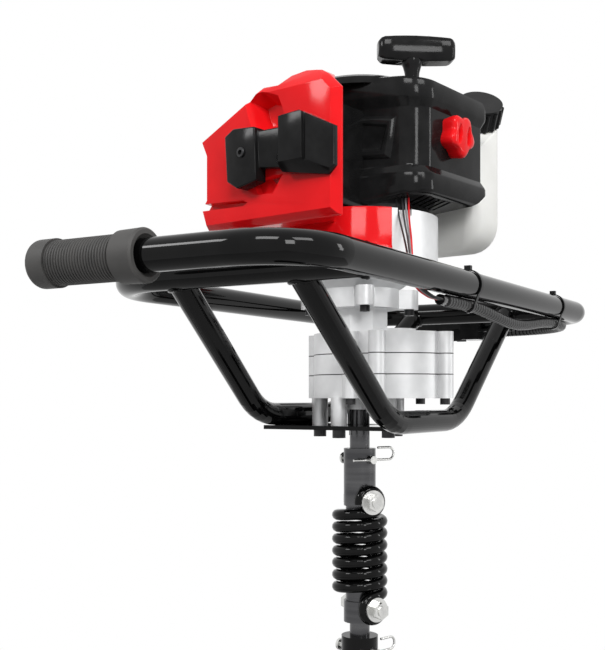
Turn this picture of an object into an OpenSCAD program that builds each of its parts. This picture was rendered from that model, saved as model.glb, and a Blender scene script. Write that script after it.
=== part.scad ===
// Petrol earth auger: bent-tube frame, vertical-crank engine, gearbox, sprung coupling and drill bit.
// Millimetres, +Z up. The origin is on the drilling axis at the middle plane of the frame's loop.
// +X runs along the loop to the throttle end and +Y runs forward, away from the operator.

/* [Frame] */
// Outside diameter of the frame tube
tube_d = 25; // [22:1:28]
// Wall of the frame tube
tube_wall = 2; // [1.5:0.5:3]
// Drilling axis to the middle of each handle bar
handle_x = 343; // [330:1:380]
// Drilling axis to the middle of each cross tube
cross_x = 240; // [225:1:255]
// Drilling axis to the middle of the operator's bar
operator_y = 133; // [128:1:145]
// Drilling axis to the middle of the front bar
front_y = 139; // [130:1:155]
// Bend radius of the operator's bar at mid tube
bend_r = 55; // [48:1:60]
// Bend radius of the loop's front corners at mid tube
loop_bend_r = 82; // [60:1:84]
// How far the handle bars reach forward of the drilling axis
handle_reach = 93; // [88:1:110]

/* [Cradle] */
// Outside diameter of the two cradle tubes
cradle_d = 22; // [19:1:24]
// Drop of the front cradle run below the loop
front_drop = 117.5; // [110:0.5:128]
// Drop of the rear cradle run below the front one
rear_drop = 7; // [5:0.5:8]
// Half length of the level run at the bottom of a cradle tube
run_x = 80; // [74:1:95]
// Bend radius of the cradle tubes
cradle_bend = 88; // [60:1:95]
// Forward place of the front cradle tube's welds
front_weld_y = 46; // [40:1:60]
// Forward place of the front cradle run
front_run_y = 68; // [64:1:75]
// Place of the rear cradle tube's welds behind the axis
rear_weld_y = 70; // [64:1:80]
// Place of the rear cradle run behind the axis
rear_run_y = 70; // [64:1:75]
// Length of the gearbox plate along the runs
plate_l = 120; // [110:1:130]
// Thickness of the gearbox plate
plate_t = 4; // [3:0.5:6]

/* [Grips] */
// Length of the rubber grip
grip_l = 105; // [95:1:115]
// Diameter of the grip over its rings
grip_d = 34.5; // [33:0.5:37]
// Diameter of the grip's outer end
flange_d = 37.5; // [36:0.5:39]
// Diameter of the grip's collar
collar_d = 40; // [38:0.5:42]
// Number of rings on the grip
grip_rings = 24; // [14:1:26]
// Diameter of the throttle handle
throttle_d = 32; // [31:1:36]
// Resting droop of the throttle trigger
trigger_droop = 8; // [7:0.5:10]

/* [Control loom] */
// Outside diameter of the ribbed loom
loom_d = 11; // [9:0.5:12]
// Bore of the ribbed loom
loom_bore = 7.6; // [5:0.2:7.6]
// Pitch of the loom's ribs
rib_pitch = 3; // [3:0.2:4]
// Radius of the loom's sweep from the operator's bar to the throttle
loom_bend_r = 116; // [100:1:117]
// Sag of the loom between its two ties
loom_sag = 9; // [6:1:12]
// Diameter of one control wire
wire_d = 2.4; // [1.6:0.2:2.6]

/* [Gearbox] */
// Distance between the output axis and the countershaft
gear_centres = 42; // [42:0.5:43]
// Radius of the gearbox case round each shaft
case_r = 46; // [45.5:0.5:48]
// Wall of the gearbox case
case_wall = 5; // [4:0.5:5]
// Teeth on the clutch pinion and on the countershaft pinion
pinion_teeth = 10; // [10:1:10]
// Teeth on the countershaft's first gear
first_teeth = 60; // [60:1:60]
// Teeth on the output gear
second_teeth = 46; // [46:1:46]
// Radius of the ring of foot bolts
foot_ring_r = 41; // [40:0.5:42]
// Diameter of the foot bolts
foot_bolt_d = 8; // [6:1:8]

/* [Drive] */
// Diameter of the output shaft and of the bit stub
shaft_d = 20; // [19:0.5:20.5]
// Diameter of the coupling sleeve
sleeve_d = 32; // [30:0.5:33]
// Mean diameter of the shock spring
spring_d = 45; // [44.5:0.5:48]
// Wire diameter of the shock spring
spring_wire = 11; // [9:0.5:11.2]
// Pitch of the shock spring
spring_pitch = 11.95; // [11.8:0.05:13]
// Turns of the shock spring between its eyes
spring_turns = 6.975; // [5.975:1:7.975]
// Outside diameter of the bit's socket
socket_d = 36.7; // [34:0.1:40]
// Diameter of the bit over its flight
bit_d = 150; // [100:10:200]
// Length of the bit from the socket's mouth to the blades
bit_l = 740; // [600:10:900]
// Pitch of the flight
flight_pitch = 108; // [90:2:120]
// Thickness of the flight's plate
flight_t = 5; // [4:0.5:6]

/* [Engine] */
// Turn of the engine about the crank, seen from above
engine_yaw = -9; // [-12:1:0]
// Height of the cylinder's axis above the loop
crank_z = 118; // [116:1:120]
// Bore of the cylinder
bore_d = 44; // [40:1:44]
// Stroke of the piston
stroke = 28; // [24:1:28]
// Radius of the fan housing
fan_r = 78; // [76:1:82]
// Wall of the moulded covers
cover_wall = 2.5; // [2:0.5:3]
// Width of the air-filter cover
filter_w = 143; // [136:1:143]
// Height of the air-filter cover
filter_h = 112; // [108:1:114]
// Diameter of the filter knob
knob_d = 44; // [36:1:48]
// Radius of the recoil housing
recoil_r = 62; // [60:1:66]
// Diameter of the fuel cap
cap_d = 50; // [46:1:54]
// Length of the starter handle
pull_l = 80; // [70:1:95]

/* [Hidden] */

$fn = 64;
fit = 0.05;        // running fit on a shaft, radial
gap = 0.3;         // clearance between neighbours that stay apart
tube_r = tube_d / 2;
black = "#141416";
alloy = "#c9cacb";
steel = "#8d8f92";
red = "#c4141c";

// Frame values
weld_gap = 0.05;
loom_z = -(tube_r + loom_d / 2 + gap);
plate_z = -front_drop - cradle_d / 2;
plate_edge = 8;
// The plate ends at the rear run's flank, where the run is as high as the plate's top
rear_flank = sqrt(pow(cradle_d / 2, 2) - pow(cradle_d / 2 - rear_drop, 2)) + weld_gap;

// Grip and throttle values
grip_y = handle_reach + 4 - grip_l;
throttle_reach = 94;
throttle_y = handle_reach - throttle_reach;
throttle_box_l = 24;
throttle_box_w = 36;
buttons_y = throttle_y + throttle_box_l / 2;
throttle_box_top = 22;
trigger_y = throttle_y + throttle_box_l + 8;
trigger_z = -(throttle_d / 2 + 6);
trigger_w = 12;
trigger_l = 58;
trigger_t = 8;
trigger_pin_d = 4;
lock_d = 10;
lock_travel = 3;
lock_offset = 8;
switch_w = 8;
switch_travel = 3;
button_floor = 14;
ferrule_l = 14;

// Gearbox heights
case_top_z = -38;
split_upper_z = -59;
split_lower_z = -79;
case_bottom_z = -102;
roof_t = 8;
floor_t = 5;
neck_r = 29;
joint_flange_z = -3;
joint_flange_t = 10;
joint_flange_r = 39.5;
lug_ring_r = 50;
lug_r = 9;
lug_h = 9;
neck_turn = 8;
ear_r = 8;
case_bolt_d = 6;
flange_bolt_turn = 33;
foot_r = 8;
foot_count = 5;
foot_turn = 106;
web_z = -70;
web_t = 8.5;
web_r = 18;
hub_r = 27;
hub_z = -113;
first_module = 2 * gear_centres / (pinion_teeth + first_teeth);
second_module = 2 * gear_centres / (pinion_teeth + second_teeth);
first_gear_z = -58;
first_gear_w = 9;
second_gear_z = -90;
second_gear_w = 17;
counter_d = 10.6;

// Bearings: bore, outside diameter, width
pinion_bearing = [12, 28, 8];
counter_bearing = [10, 26, 8];
output_bearing = [20, 42, 12];
crank_bearing = [15, 35, 11];
input_bearing_z = [-46, -16];
counter_bearing_z = [-46, -100];
web_bearing_z = -70;
output_bearing_z = -109;

// Drive heights
sleeve_top_z = -152;
cross_pin_d = 8;
cross_pin_z = -163;
eye_r = spring_wire;
upper_eye_z = -204;
spring_top_z = upper_eye_z - eye_r;
spring_bottom_z = spring_top_z - spring_turns * spring_pitch;
lower_eye_z = spring_bottom_z - eye_r;
sleeve_bottom_z = spring_top_z - 1;
coil_clear = spring_wire / 2 + gap;
upper_eye_turn = 233;
lower_eye_turn = upper_eye_turn - 360 * spring_turns;
upper_pin_turn = upper_eye_turn + 12;
lower_pin_turn = lower_eye_turn + 12;
eye_bolt_d = 10;
spigot_d = sleeve_d - 4;
eye_sweep = 280;
stub_hub_h = 33;
stub_hub_top_z = lower_eye_z + 17;
socket_z = stub_hub_top_z - stub_hub_h - 14;
stub_l = 60;
socket_l = 82;
core_d = 34;
core_wall = 4;
bit_pin_z = socket_z - 14;
blade_z = socket_z - bit_l;
flight_top_z = socket_z - 180;
flight_turns = (flight_top_z - blade_z) / flight_pitch;

// Engine places, in the engine's own turned frame
case_flange_z = 70;
crankcase_r = 43;
crankcase_top_z = crank_z + 42;
crank_cavity_r = 38;
crank_cavity_h = 40;
crank_d = 15;
web_disc_r = 34;
head_x = -106;
head_t = 6;
head_clear = 1.5;
cylinder_x = -50;
block_half = 31;
shroud_x = -112;
shroud_back_x = -4;
plug_x = -130;
filter_x = -49;
filter_y = -95;
filter_back_y = -10;
filter_z = 84;
filter_band = 4;
filter_foot_h = 24;
filter_head_h = 18;
filter_near_r = 22;
filter_far_r = 16;
filter_slope_l = 36;
knob_x = 26;
knob_z = 150;
tank_gap = 3;
tank_x = filter_x + filter_w + tank_gap;
tank_l = 58;
tank_y = -76;
tank_w = 105;
tank_round = 30;
tank_edge = 14;
tank_z = 53;
tank_h = 133;
cap_at = [tank_x + 44, -51, 188];
cap_tilt = [30, -35, 0];
cap_lift = 10;
cap_h = 22;
neck_bore_r = 17;
recoil_z = crankcase_top_z;
recoil_h = 47;
pull_at = [19, -50];
pull_turn = -45;
pull_grip_d = 22;
pull_neck_h = 19;
pull_bar_h = 26;
pull_z = recoil_z + recoil_h + 2;
rope_d = 4;
reel_r = 30;

function ring_at(r, count, turn) = [for (i = [0:count - 1])
  let (a = turn + i * 360 / count) r * [cos(a), sin(a)]];
function unit(v) = v / norm(v);
function tangent(p, i) = unit(p[min(i + 1, len(p) - 1)] - p[max(i - 1, 0)]);

// A closed tube along points: refs are unit vectors square to the path, radii one a ring
module swept_tube(points, refs, radii, sides) {
  n = len(points);
  rings = [for (i = [0:n - 1]) let (t = tangent(points, i),
    e = unit(refs[i] - t * (t * refs[i])), f = cross(t, e))
    for (j = [0:sides - 1]) points[i] + radii[i] * (cos(360 * j / sides) * e + sin(360 * j / sides) * f)];
  walls = [for (i = [0:n - 2]) for (j = [0:sides - 1]) let (a = i * sides + j,
    b = i * sides + (j + 1) % sides)
    each [[a, b + sides, b], [a, a + sides, b + sides]]];
  first = [for (j = [1:sides - 2]) [0, j, j + 1]];
  last = [for (j = [1:sides - 2]) let (k = (n - 1) * sides) [k, k + j + 1, k + j]];
  polyhedron(rings, concat(walls, first, last));
}

module along_x(p, d, h) { translate(p) rotate([0, 90, 0]) cylinder(d = d, h = h); }
module along_y(p, d, h) { translate(p) rotate([-90, 0, 0]) cylinder(d = d, h = h); }
module ring(d_out, d_in, h) {
  difference() {
    cylinder(d = d_out, h = h);
    translate([0, 0, -1]) cylinder(d = d_in, h = h + 2);
  }
}
module box(low, high) { translate(low) cube(high - low); }
module engine() { rotate([0, 0, engine_yaw]) children(); }

// Points round a quarter circle, from an angle onward
function corner(c, r, from) = [for (i = [0:6]) c + r * [cos(from + 15 * i), sin(from + 15 * i)]];

// One tube bent to a C: a long side at y_side and two arms that end at y_end
module c_tube(x_half, y_side, y_end, d, bend) {
  along_x([-(x_half - bend), y_side, 0], d, 2 * (x_half - bend));
  for (s = [-1, 1]) {
    translate([s * (x_half - bend), y_side + bend, 0]) rotate([0, 0, s > 0 ? -90 : 180])
      rotate_extrude(angle = 90) translate([bend, 0]) circle(d = d);
    along_y([s * x_half, y_side + bend, 0], d, y_end - y_side - bend);
  }
}

module operator_bar() {
  color(black) difference() {
    c_tube(handle_x, -operator_y, handle_reach, tube_d, bend_r);
    c_tube(handle_x, -operator_y, handle_reach + 1, tube_d - 2 * tube_wall, bend_r);
  }
}

module loop_tube() {
  color(black) difference() {
    mirror([0, 1, 0]) c_tube(cross_x, -front_y, operator_y, tube_d, loop_bend_r);
    mirror([0, 1, 0]) c_tube(cross_x, -front_y, operator_y + 1, tube_d - 2 * tube_wall, loop_bend_r);
    along_x([-handle_x, -operator_y, 0], tube_d + 2 * weld_gap, 2 * handle_x);
  }
}

// A cradle tube hangs from both cross tubes: a level run, two bends and two sloping legs in one leaning plane
bend_steps = 6;
tube_sides = 32;
function cradle_points(depth, over) = let (slope = atan2(depth, cross_x - run_x),
    straight = run_x - cradle_bend * tan(slope / 2),
    bend = [for (i = [0:bend_steps]) let (a = slope * i / bend_steps)
      [straight + cradle_bend * sin(a), 0, cradle_bend * (1 - cos(a)) - depth]],
    half = concat(bend, [[cross_x + over * cos(slope), 0, over * sin(slope)]]))
  concat([for (i = [len(half) - 1:-1:0]) [-half[i].x, 0, half[i].z]], half);
module cradle_sweep(depth, d, over) {
  points = cradle_points(depth, over);
  swept_tube(points, [for (p = points) [0, 1, 0]], [for (p = points) d / 2], tube_sides);
}
module cradle_tube(weld_y, run_y, drop) {
  lean = asin((run_y - weld_y) / norm([run_y - weld_y, drop]));
  depth = norm([run_y - weld_y, drop]);
  color(black) difference() {
    translate([0, weld_y, 0]) rotate([lean, 0, 0]) difference() {
      cradle_sweep(depth, cradle_d, 0);
      cradle_sweep(depth, cradle_d - 2 * tube_wall, 2);
    }
    for (s = [-1, 1]) along_y([s * cross_x, -front_y, 0], tube_d + 2 * weld_gap, 2 * front_y);
  }
}
module cradle_tube_front() { cradle_tube(front_weld_y, front_run_y, front_drop); }
module cradle_tube_rear() { cradle_tube(-rear_weld_y, -rear_run_y, front_drop + rear_drop); }

module gearbox_plate() {
  color(black) difference() {
    box([-plate_l / 2, rear_flank - rear_run_y, plate_z - plate_t],
      [plate_l / 2, front_run_y + plate_edge, plate_z]);
    translate([0, 0, plate_z - plate_t - 1]) cylinder(d = 2 * shaft_d, h = plate_t + 2);
    for (p = ring_at(foot_ring_r, foot_count, foot_turn))
      translate([p.x, p.y, plate_z - plate_t - 1]) cylinder(d = foot_bolt_d + 0.4, h = plate_t + 2);
  }
}

// A socket-head bolt pointing up, with its head's seat at the origin
module socket_bolt(d, h) {
  difference() {
    translate([0, 0, -d]) cylinder(d = 1.6 * d, h = d);
    translate([0, 0, -d - 1]) cylinder(d = 0.9 * d, h = d / 2 + 1, $fn = 6);
  }
  cylinder(d = d, h = h);
}

module plate_bolts() {
  color(steel) for (p = ring_at(foot_ring_r, foot_count, foot_turn))
    translate([p.x, p.y, plate_z - plate_t]) socket_bolt(foot_bolt_d, plate_t + 20);
}

module hand_grip() {
  collar_l = 21;
  flange_l = 20;
  round_r = 6;
  pitch = (grip_l - collar_l - flange_l) / grip_rings;
  ring_r = grip_d / 2;
  groove_r = ring_r - 1;
  end_r = flange_d / 2;
  rings = [for (i = [0:grip_rings - 1]) let (z = collar_l + i * pitch)
    each [[groove_r, z], [groove_r, z + pitch * 0.3], [ring_r, z + pitch * 0.45],
      [ring_r, z + pitch * 0.85]]];
  nose = corner([end_r - round_r, grip_l - round_r], round_r, 0);
  profile = concat([[tube_r + fit, 3], [tube_r + 3, 0], [collar_d / 2 - 1.5, 0], [collar_d / 2, 1.5],
    [collar_d / 2 - 0.5, collar_l]], rings, [[groove_r, grip_l - flange_l],
      [end_r, grip_l - flange_l]], nose,
    [[0, grip_l], [0, grip_l - 4], [tube_r + fit, grip_l - 4]]);
  color("#26262a") translate([-handle_x, grip_y, 0]) rotate([-90, 0, 0]) rotate_extrude() polygon(profile);
}

module throttle_handle() {
  half = throttle_box_w / 2;
  box_end = throttle_y + throttle_box_l;
  color(black) {
    difference() {
      union() {
        along_y([handle_x, throttle_y, 0], throttle_d, handle_reach + 3 - throttle_y);
        box([handle_x - half, throttle_y, loom_z - loom_d / 2 - 3],
          [handle_x + half, box_end, throttle_box_top]);
        for (s = [-1, 1]) translate([handle_x + s * (trigger_w / 2 + gap + 1.5), trigger_y, 0])
          box([-1.5, -6, trigger_z - 6], [1.5, 6, 3 - throttle_d / 2]);
      }
      along_y([handle_x, throttle_y - 1, 0], tube_d + 2 * fit, handle_reach - throttle_y + 1);
      along_y([handle_x, throttle_y - 1, loom_z], loom_d, throttle_box_l / 2);
      translate([handle_x - lock_offset, buttons_y, button_floor])
        cylinder(d = lock_d + 2 * gap, h = throttle_box_top);
      translate([handle_x + lock_offset, buttons_y, button_floor + throttle_box_top / 2])
        cube([switch_w + 2 * gap, switch_w + 2 * switch_travel + 2 * gap, throttle_box_top], center = true);
    }
    along_x([handle_x - trigger_w / 2 - gap - 1.5, trigger_y, trigger_z],
      trigger_pin_d, trigger_w + 2 * gap + 3);
  }
}

module throttle_trigger() {
  color(black) translate([handle_x, trigger_y, trigger_z]) rotate([-trigger_droop, 0, 0]) difference() {
    union() {
      along_x([-trigger_w / 2, 0, 0], trigger_t + 2, trigger_w);
      box([-trigger_w / 2, 0, -trigger_t / 2], [trigger_w / 2, trigger_l - trigger_t / 2, trigger_t / 2]);
      along_x([-trigger_w / 2, trigger_l - trigger_t / 2, 0], trigger_t, trigger_w);
    }
    along_x([-trigger_w / 2 - 1, 0, 0], trigger_pin_d + 2 * fit, trigger_w + 2);
  }
}

module throttle_lock() {
  color(black) translate([handle_x - lock_offset, buttons_y, button_floor + lock_travel + gap])
    cylinder(d = lock_d, h = throttle_box_top - button_floor + 1);
}

module stop_switch() {
  color(red) translate([handle_x + lock_offset, buttons_y, button_floor + gap])
    translate([-switch_w / 2, -switch_w / 2, 0])
      cube([switch_w, switch_w, throttle_box_top - button_floor + 3]);
}

module loom_ferrule() {
  color(black) difference() {
    translate([handle_x, throttle_y - ferrule_l, loom_z]) rotate([-90, 0, 0])
      ring(loom_d + 4, loom_d + 2 * fit, ferrule_l);
    along_y([handle_x, throttle_y - ferrule_l - 1, 0], tube_d + 2 * weld_gap, ferrule_l + 2);
  }
}

// The loom leaves the throttle, sweeps round to the operator's bar and hangs under it between two ties
tie_x = [-45, 211];
tie_w = 4.5;
tie_t = 1.2;
loom_start_y = throttle_y - 2;
loom_end_x = -110;
loom_arc_y = loom_bend_r - operator_y;
loom_first = loom_start_y - loom_arc_y;
loom_arc = loom_bend_r * PI / 2;
loom_length = loom_first + loom_arc + handle_x - loom_bend_r - loom_end_x;
function loom_hang(x) = let (t = (x - tie_x[0]) / (tie_x[1] - tie_x[0]))
  loom_z - (t > 0 && t < 1 ? loom_sag * pow(sin(180 * t), 2) : 0);
function loom_point(s) = s < loom_first ? [handle_x, loom_start_y - s, loom_z]
  : s < loom_first + loom_arc ? let (a = -(s - loom_first) / loom_bend_r * 180 / PI)
    [handle_x - loom_bend_r + loom_bend_r * cos(a), loom_arc_y + loom_bend_r * sin(a), loom_z]
  : let (x = handle_x - loom_bend_r - (s - loom_first - loom_arc)) [x, -operator_y, loom_hang(x)];
rib_count = min(200, floor((loom_length - 2 * loom_d) / rib_pitch));
module throttle_loom() {
  stations = concat([0], [for (i = [0:2 * rib_count - 1]) loom_d + i * rib_pitch / 2],
    [loom_length - loom_d, loom_length]);
  radii = concat([loom_d / 2 - 0.7], [for (i = [0:2 * rib_count - 1]) loom_d / 2 - (i % 2 == 0 ? 0.9 : 0)],
    [loom_d / 2 - 0.9, loom_d / 2 - 0.7]);
  path = [for (s = stations) loom_point(s)];
  bore_steps = 60;
  bore = [for (i = [0:bore_steps]) loom_point(-1 + i * (loom_length + 2) / bore_steps)];
  color("#1c1c1f") difference() {
    swept_tube(path, [for (p = path) [0, 0, 1]], radii, 8);
    swept_tube(bore, [for (p = bore) [0, 0, 1]], [for (p = bore) loom_bore / 2], 8);
  }
}

// Two cable ties hold the loom under the operator's bar
module loom_ties() {
  color(black) for (x = tie_x) translate([x, -operator_y, 0]) rotate([0, 90, 0])
    translate([0, 0, -tie_w / 2]) {
    linear_extrude(tie_w) difference() {
      tie_outline(gap + tie_t);
      tie_outline(gap);
    }
    translate([-tube_r - gap - tie_t - 3.5, -3, 0]) cube([4, 6, tie_w]);
  }
}
module tie_outline(grow) {
  half = tube_r + grow;
  reach = loom_d / 2 - tube_r;
  circle(r = half);
  translate([-loom_z, 0]) circle(r = loom_d / 2 + grow);
  polygon([[0, half], [-loom_z, half + reach], [-loom_z, -half - reach], [0, -half]]);
}

// Three wires leave the loom's end, turn up behind the bar and rise to the carburettor
wire_route = [[-104, -133, -18.3], [-114, -133, -18], [-122, -129, -16], [-124, -120, -8], [-112, -109, 6],
  [-90, -97, 24], [-66, -84, 44], [-46, -72, 64], [-36, -66, 80], [-33, -64, 92]];
wire_entry = [-38.5, -67.5];
wire_entry_d = 16;
wire_offsets = [[-1.4, 0, -1.2], [1.4, 0, -1.2], [0, 1.2, 1.4]];
module control_wires() {
  color("#1c1c1f") for (o = wire_offsets) {
    path = [for (p = wire_route) p + [p.z > 0 ? o.x : 0, (p.z > 0 ? 0 : o.x) + o.y, p.z > 0 ? 0 : o.z]];
    swept_tube(path, [for (p = path) [0.6, -0.8, 0.1]], [for (p = path) wire_d / 2], 8);
  }
}

// Plan of the gearbox case: round the output axis and round the countershaft
module case_plan(r) {
  circle(r = r);
  translate([0, -gear_centres]) circle(r = r);
  translate([-r, -gear_centres]) square([2 * r, gear_centres]);
}
ear_out = case_r + 4;
ear_y = [-16, -gear_centres - 2];
ears = concat([[0, ear_out], [0, -gear_centres - ear_out]],
  [for (s = [-1, 1]) for (y = ear_y) [s * ear_out, y]]);
module ear_plan(r) { for (p = ears) translate(p) circle(r = r); }
module case_layer(low, high) {
  translate([0, 0, low]) linear_extrude(high - low) difference() {
    union() {
      case_plan(case_r);
      ear_plan(ear_r);
    }
    case_plan(case_r - case_wall);
    ear_plan(case_bolt_d / 2 + fit);
  }
}
module flange_plan() {
  circle(r = joint_flange_r);
  for (p = ring_at(lug_ring_r, 4, flange_bolt_turn)) {
    translate(p) circle(r = lug_r);
    rotate([0, 0, atan2(p.y, p.x)]) translate([0, -lug_r]) square([lug_ring_r, 2 * lug_r]);
  }
}
module flange_holes(z, h) {
  for (p = ring_at(lug_ring_r, 4, flange_bolt_turn)) translate([p.x, p.y, z])
    cylinder(r = case_bolt_d / 2 + fit, h = h);
}
module at_counter() { translate([0, -gear_centres, 0]) children(); }

module gearbox_top_cover() {
  roof_z = case_top_z - roof_t;
  color(alloy) difference() {
    union() {
      case_layer(split_upper_z, case_top_z);
      translate([0, 0, roof_z]) linear_extrude(roof_t) case_plan(case_r - case_wall + 0.01);
      at_counter() translate([0, 0, case_top_z]) cylinder(r = 18, h = 4);
      translate([0, 0, case_top_z]) rotate([0, 0, neck_turn])
        cylinder(r = neck_r, h = joint_flange_z - case_top_z, $fn = 8);
      translate([0, 0, joint_flange_z - joint_flange_t]) linear_extrude(joint_flange_t) flange_plan();
    }
    for (z = input_bearing_z) translate([0, 0, z - (z < -40 ? 1 : 0)])
      cylinder(d = pinion_bearing[1], h = pinion_bearing[2] + (z < -40 ? 1 : 20));
    translate([0, 0, roof_z - 1]) cylinder(r = 10, h = 60);
    at_counter() translate([0, 0, roof_z - 1]) cylinder(d = counter_bearing[1], h = counter_bearing[2] + 1);
    flange_holes(joint_flange_z - joint_flange_t - 1, joint_flange_t + 2);
  }
}

module gearbox_middle_case() {
  color(alloy) difference() {
    union() {
      case_layer(split_lower_z, split_upper_z);
      translate([0, 0, web_z]) {
        cylinder(r = web_r, h = web_t);
        box([-12, 0, 0], [12, case_r - case_wall + 0.5, web_t]);
      }
    }
    translate([0, 0, web_z - 1]) cylinder(d = pinion_bearing[1], h = pinion_bearing[2] + 1);
    translate([0, 0, web_z]) cylinder(r = 10, h = web_t + 1);
  }
}

module gearbox_bottom_cover() {
  floor_z = case_bottom_z + floor_t;
  feet = ring_at(foot_ring_r, foot_count, foot_turn);
  color(alloy) difference() {
    union() {
      case_layer(case_bottom_z, split_lower_z);
      translate([0, 0, case_bottom_z]) linear_extrude(floor_t) case_plan(case_r - case_wall + 0.01);
      translate([0, 0, hub_z]) cylinder(r = hub_r, h = case_bottom_z - hub_z + 1);
      at_counter() translate([0, 0, floor_z - 1]) cylinder(d = counter_bearing[1] + 8, h = 6);
      for (p = feet) translate([p.x, p.y, plate_z]) cylinder(r = foot_r, h = case_bottom_z - plate_z + 1);
    }
    translate([0, 0, output_bearing_z]) cylinder(d = output_bearing[1], h = output_bearing[2] + 1);
    translate([0, 0, hub_z - 1]) cylinder(d = 35, h = 6);
    at_counter() translate([0, 0, counter_bearing_z[1]])
      cylinder(d = counter_bearing[1], h = counter_bearing[2] + 1);
    for (p = feet) translate([p.x, p.y, plate_z - 1]) cylinder(d = foot_bolt_d + 2 * fit, h = 23);
  }
}

module case_bolts() {
  color(steel) {
    for (p = ears) translate([p.x, p.y, case_bottom_z])
      socket_bolt(case_bolt_d, case_top_z - case_bottom_z - 2);
    for (p = ring_at(lug_ring_r, 4, flange_bolt_turn)) translate([p.x, p.y, joint_flange_z - joint_flange_t])
      socket_bolt(case_bolt_d, joint_flange_t + lug_h - 1);
  }
}

// A bearing as its two rings and shield, pressed in its seat and running on its shaft
module bearing(b, z) { translate([0, 0, z]) ring(b[1] - 0.1, b[0] + 2 * fit, b[2]); }
module bearings() {
  color(steel) {
    for (z = input_bearing_z) bearing(pinion_bearing, z);
    at_counter() for (z = counter_bearing_z) bearing(counter_bearing, z);
    bearing(pinion_bearing, web_bearing_z);
    bearing(output_bearing, output_bearing_z);
    for (z = [crank_z - crank_cavity_h / 2 - crank_bearing[2], crank_z + crank_cavity_h / 2])
      bearing(crank_bearing, z);
  }
}

module output_seal() {
  color("#202022") translate([0, 0, hub_z]) ring(35 - 0.1, shaft_d + 2 * fit, 4);
}

// Spur gear with stub involute teeth; the first tooth points along turn
pressure = 25;
tooth_share = 0.42;
function involute(base, r) = let (a = acos(min(1, base / r))) tan(a) * 180 / PI - a;
module spur_gear(teeth, m, turn, h) {
  pitch_r = teeth * m / 2;
  base_r = pitch_r * cos(pressure);
  tip_r = pitch_r + 0.75 * m;
  root_r = pitch_r - 1.1 * m;
  half = tooth_share * 180 / teeth + involute(base_r, pitch_r);
  steps = 3;
  foot_at = max(base_r, root_r);
  flank = [for (i = [0:steps])
    let (r = foot_at + (tip_r - foot_at) * i / steps) [r, half - involute(base_r, r)]];
  tooth = concat([[root_r, half]], flank, [for (i = [steps:-1:0]) [flank[i][0], -flank[i][1]]],
    [[root_r, -half]]);
  linear_extrude(h) polygon([for (k = [0:teeth - 1]) for (i = [len(tooth) - 1:-1:0])
    let (a = turn + k * 360 / teeth + tooth[i][1]) tooth[i][0] * [cos(a), sin(a)]]);
}

// Cross holes for the clip pins and for the bolts through the spring's eyes
module pin_hole(z, turn) {
  translate([0, 0, z]) rotate([0, 90, turn])
    cylinder(d = cross_pin_d + 2 * fit, h = 2 * socket_d, center = true);
}
module eye_hole(z, turn) {
  translate([0, 0, z]) rotate([0, 90, turn])
    cylinder(d = eye_bolt_d + 2 * fit, h = 2 * socket_d, center = true);
}

module output_gear() {
  color(steel) translate([0, 0, second_gear_z]) difference() {
    spur_gear(second_teeth, second_module, -90 + 180 / second_teeth, second_gear_w);
    translate([0, 0, -1]) cylinder(d = shaft_d + 2 * fit, h = second_gear_w + 2);
  }
}

module output_shaft() {
  color(steel) difference() {
    union() {
      translate([0, 0, sleeve_top_z - 40]) cylinder(d = shaft_d, h = web_z - 2 - sleeve_top_z + 40);
      translate([0, 0, web_z - 2.01]) cylinder(d = pinion_bearing[0], h = 10);
    }
    pin_hole(cross_pin_z, upper_pin_turn);
  }
}

module counter_shaft() {
  low = counter_bearing_z[1] + 0.5;
  high = case_top_z - 0.5;
  color(steel) at_counter() {
    translate([0, 0, low]) cylinder(d = counter_bearing[0], h = high - low);
    translate([0, 0, second_gear_z - 1]) spur_gear(pinion_teeth, second_module, 90, second_gear_w + 2);
    translate([0, 0, second_gear_z + second_gear_w + 1])
      cylinder(d = counter_d, h = first_gear_z - second_gear_z - second_gear_w - 1);
  }
}

module counter_gear() {
  color(steel) at_counter() translate([0, 0, first_gear_z]) difference() {
    spur_gear(first_teeth, first_module, 90 + 180 / first_teeth, first_gear_w);
    translate([0, 0, -1]) cylinder(d = counter_bearing[0] + 2 * fit, h = first_gear_w + 2);
  }
}

// The clutch drum is a cup on the pinion's shaft
drum_z = -2;
drum_r = 31;
drum_h = 28;
drum_wall = 2.5;
module clutch_drum() {
  color(steel) {
    translate([0, 0, first_gear_z - 2]) spur_gear(pinion_teeth, first_module, -90, first_gear_w + 4);
    translate([0, 0, first_gear_z + first_gear_w + 2])
      cylinder(d = pinion_bearing[0], h = drum_z - first_gear_z - first_gear_w - 2);
    translate([0, 0, drum_z]) difference() {
      cylinder(r = drum_r, h = drum_h);
      translate([0, 0, 3.5]) cylinder(r = drum_r - drum_wall, h = drum_h);
    }
  }
}

module coupling_sleeve() {
  color(alloy) difference() {
    union() {
      translate([0, 0, spring_top_z + coil_clear])
        cylinder(d = sleeve_d, h = sleeve_top_z - spring_top_z - coil_clear);
      translate([0, 0, sleeve_bottom_z])
        cylinder(d = spigot_d, h = spring_top_z + coil_clear + 1 - sleeve_bottom_z);
    }
    translate([0, 0, sleeve_top_z - 40]) cylinder(d = shaft_d + 2 * fit, h = 41);
    pin_hole(cross_pin_z, upper_pin_turn);
    eye_hole(upper_eye_z, upper_eye_turn);
  }
}

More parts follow.
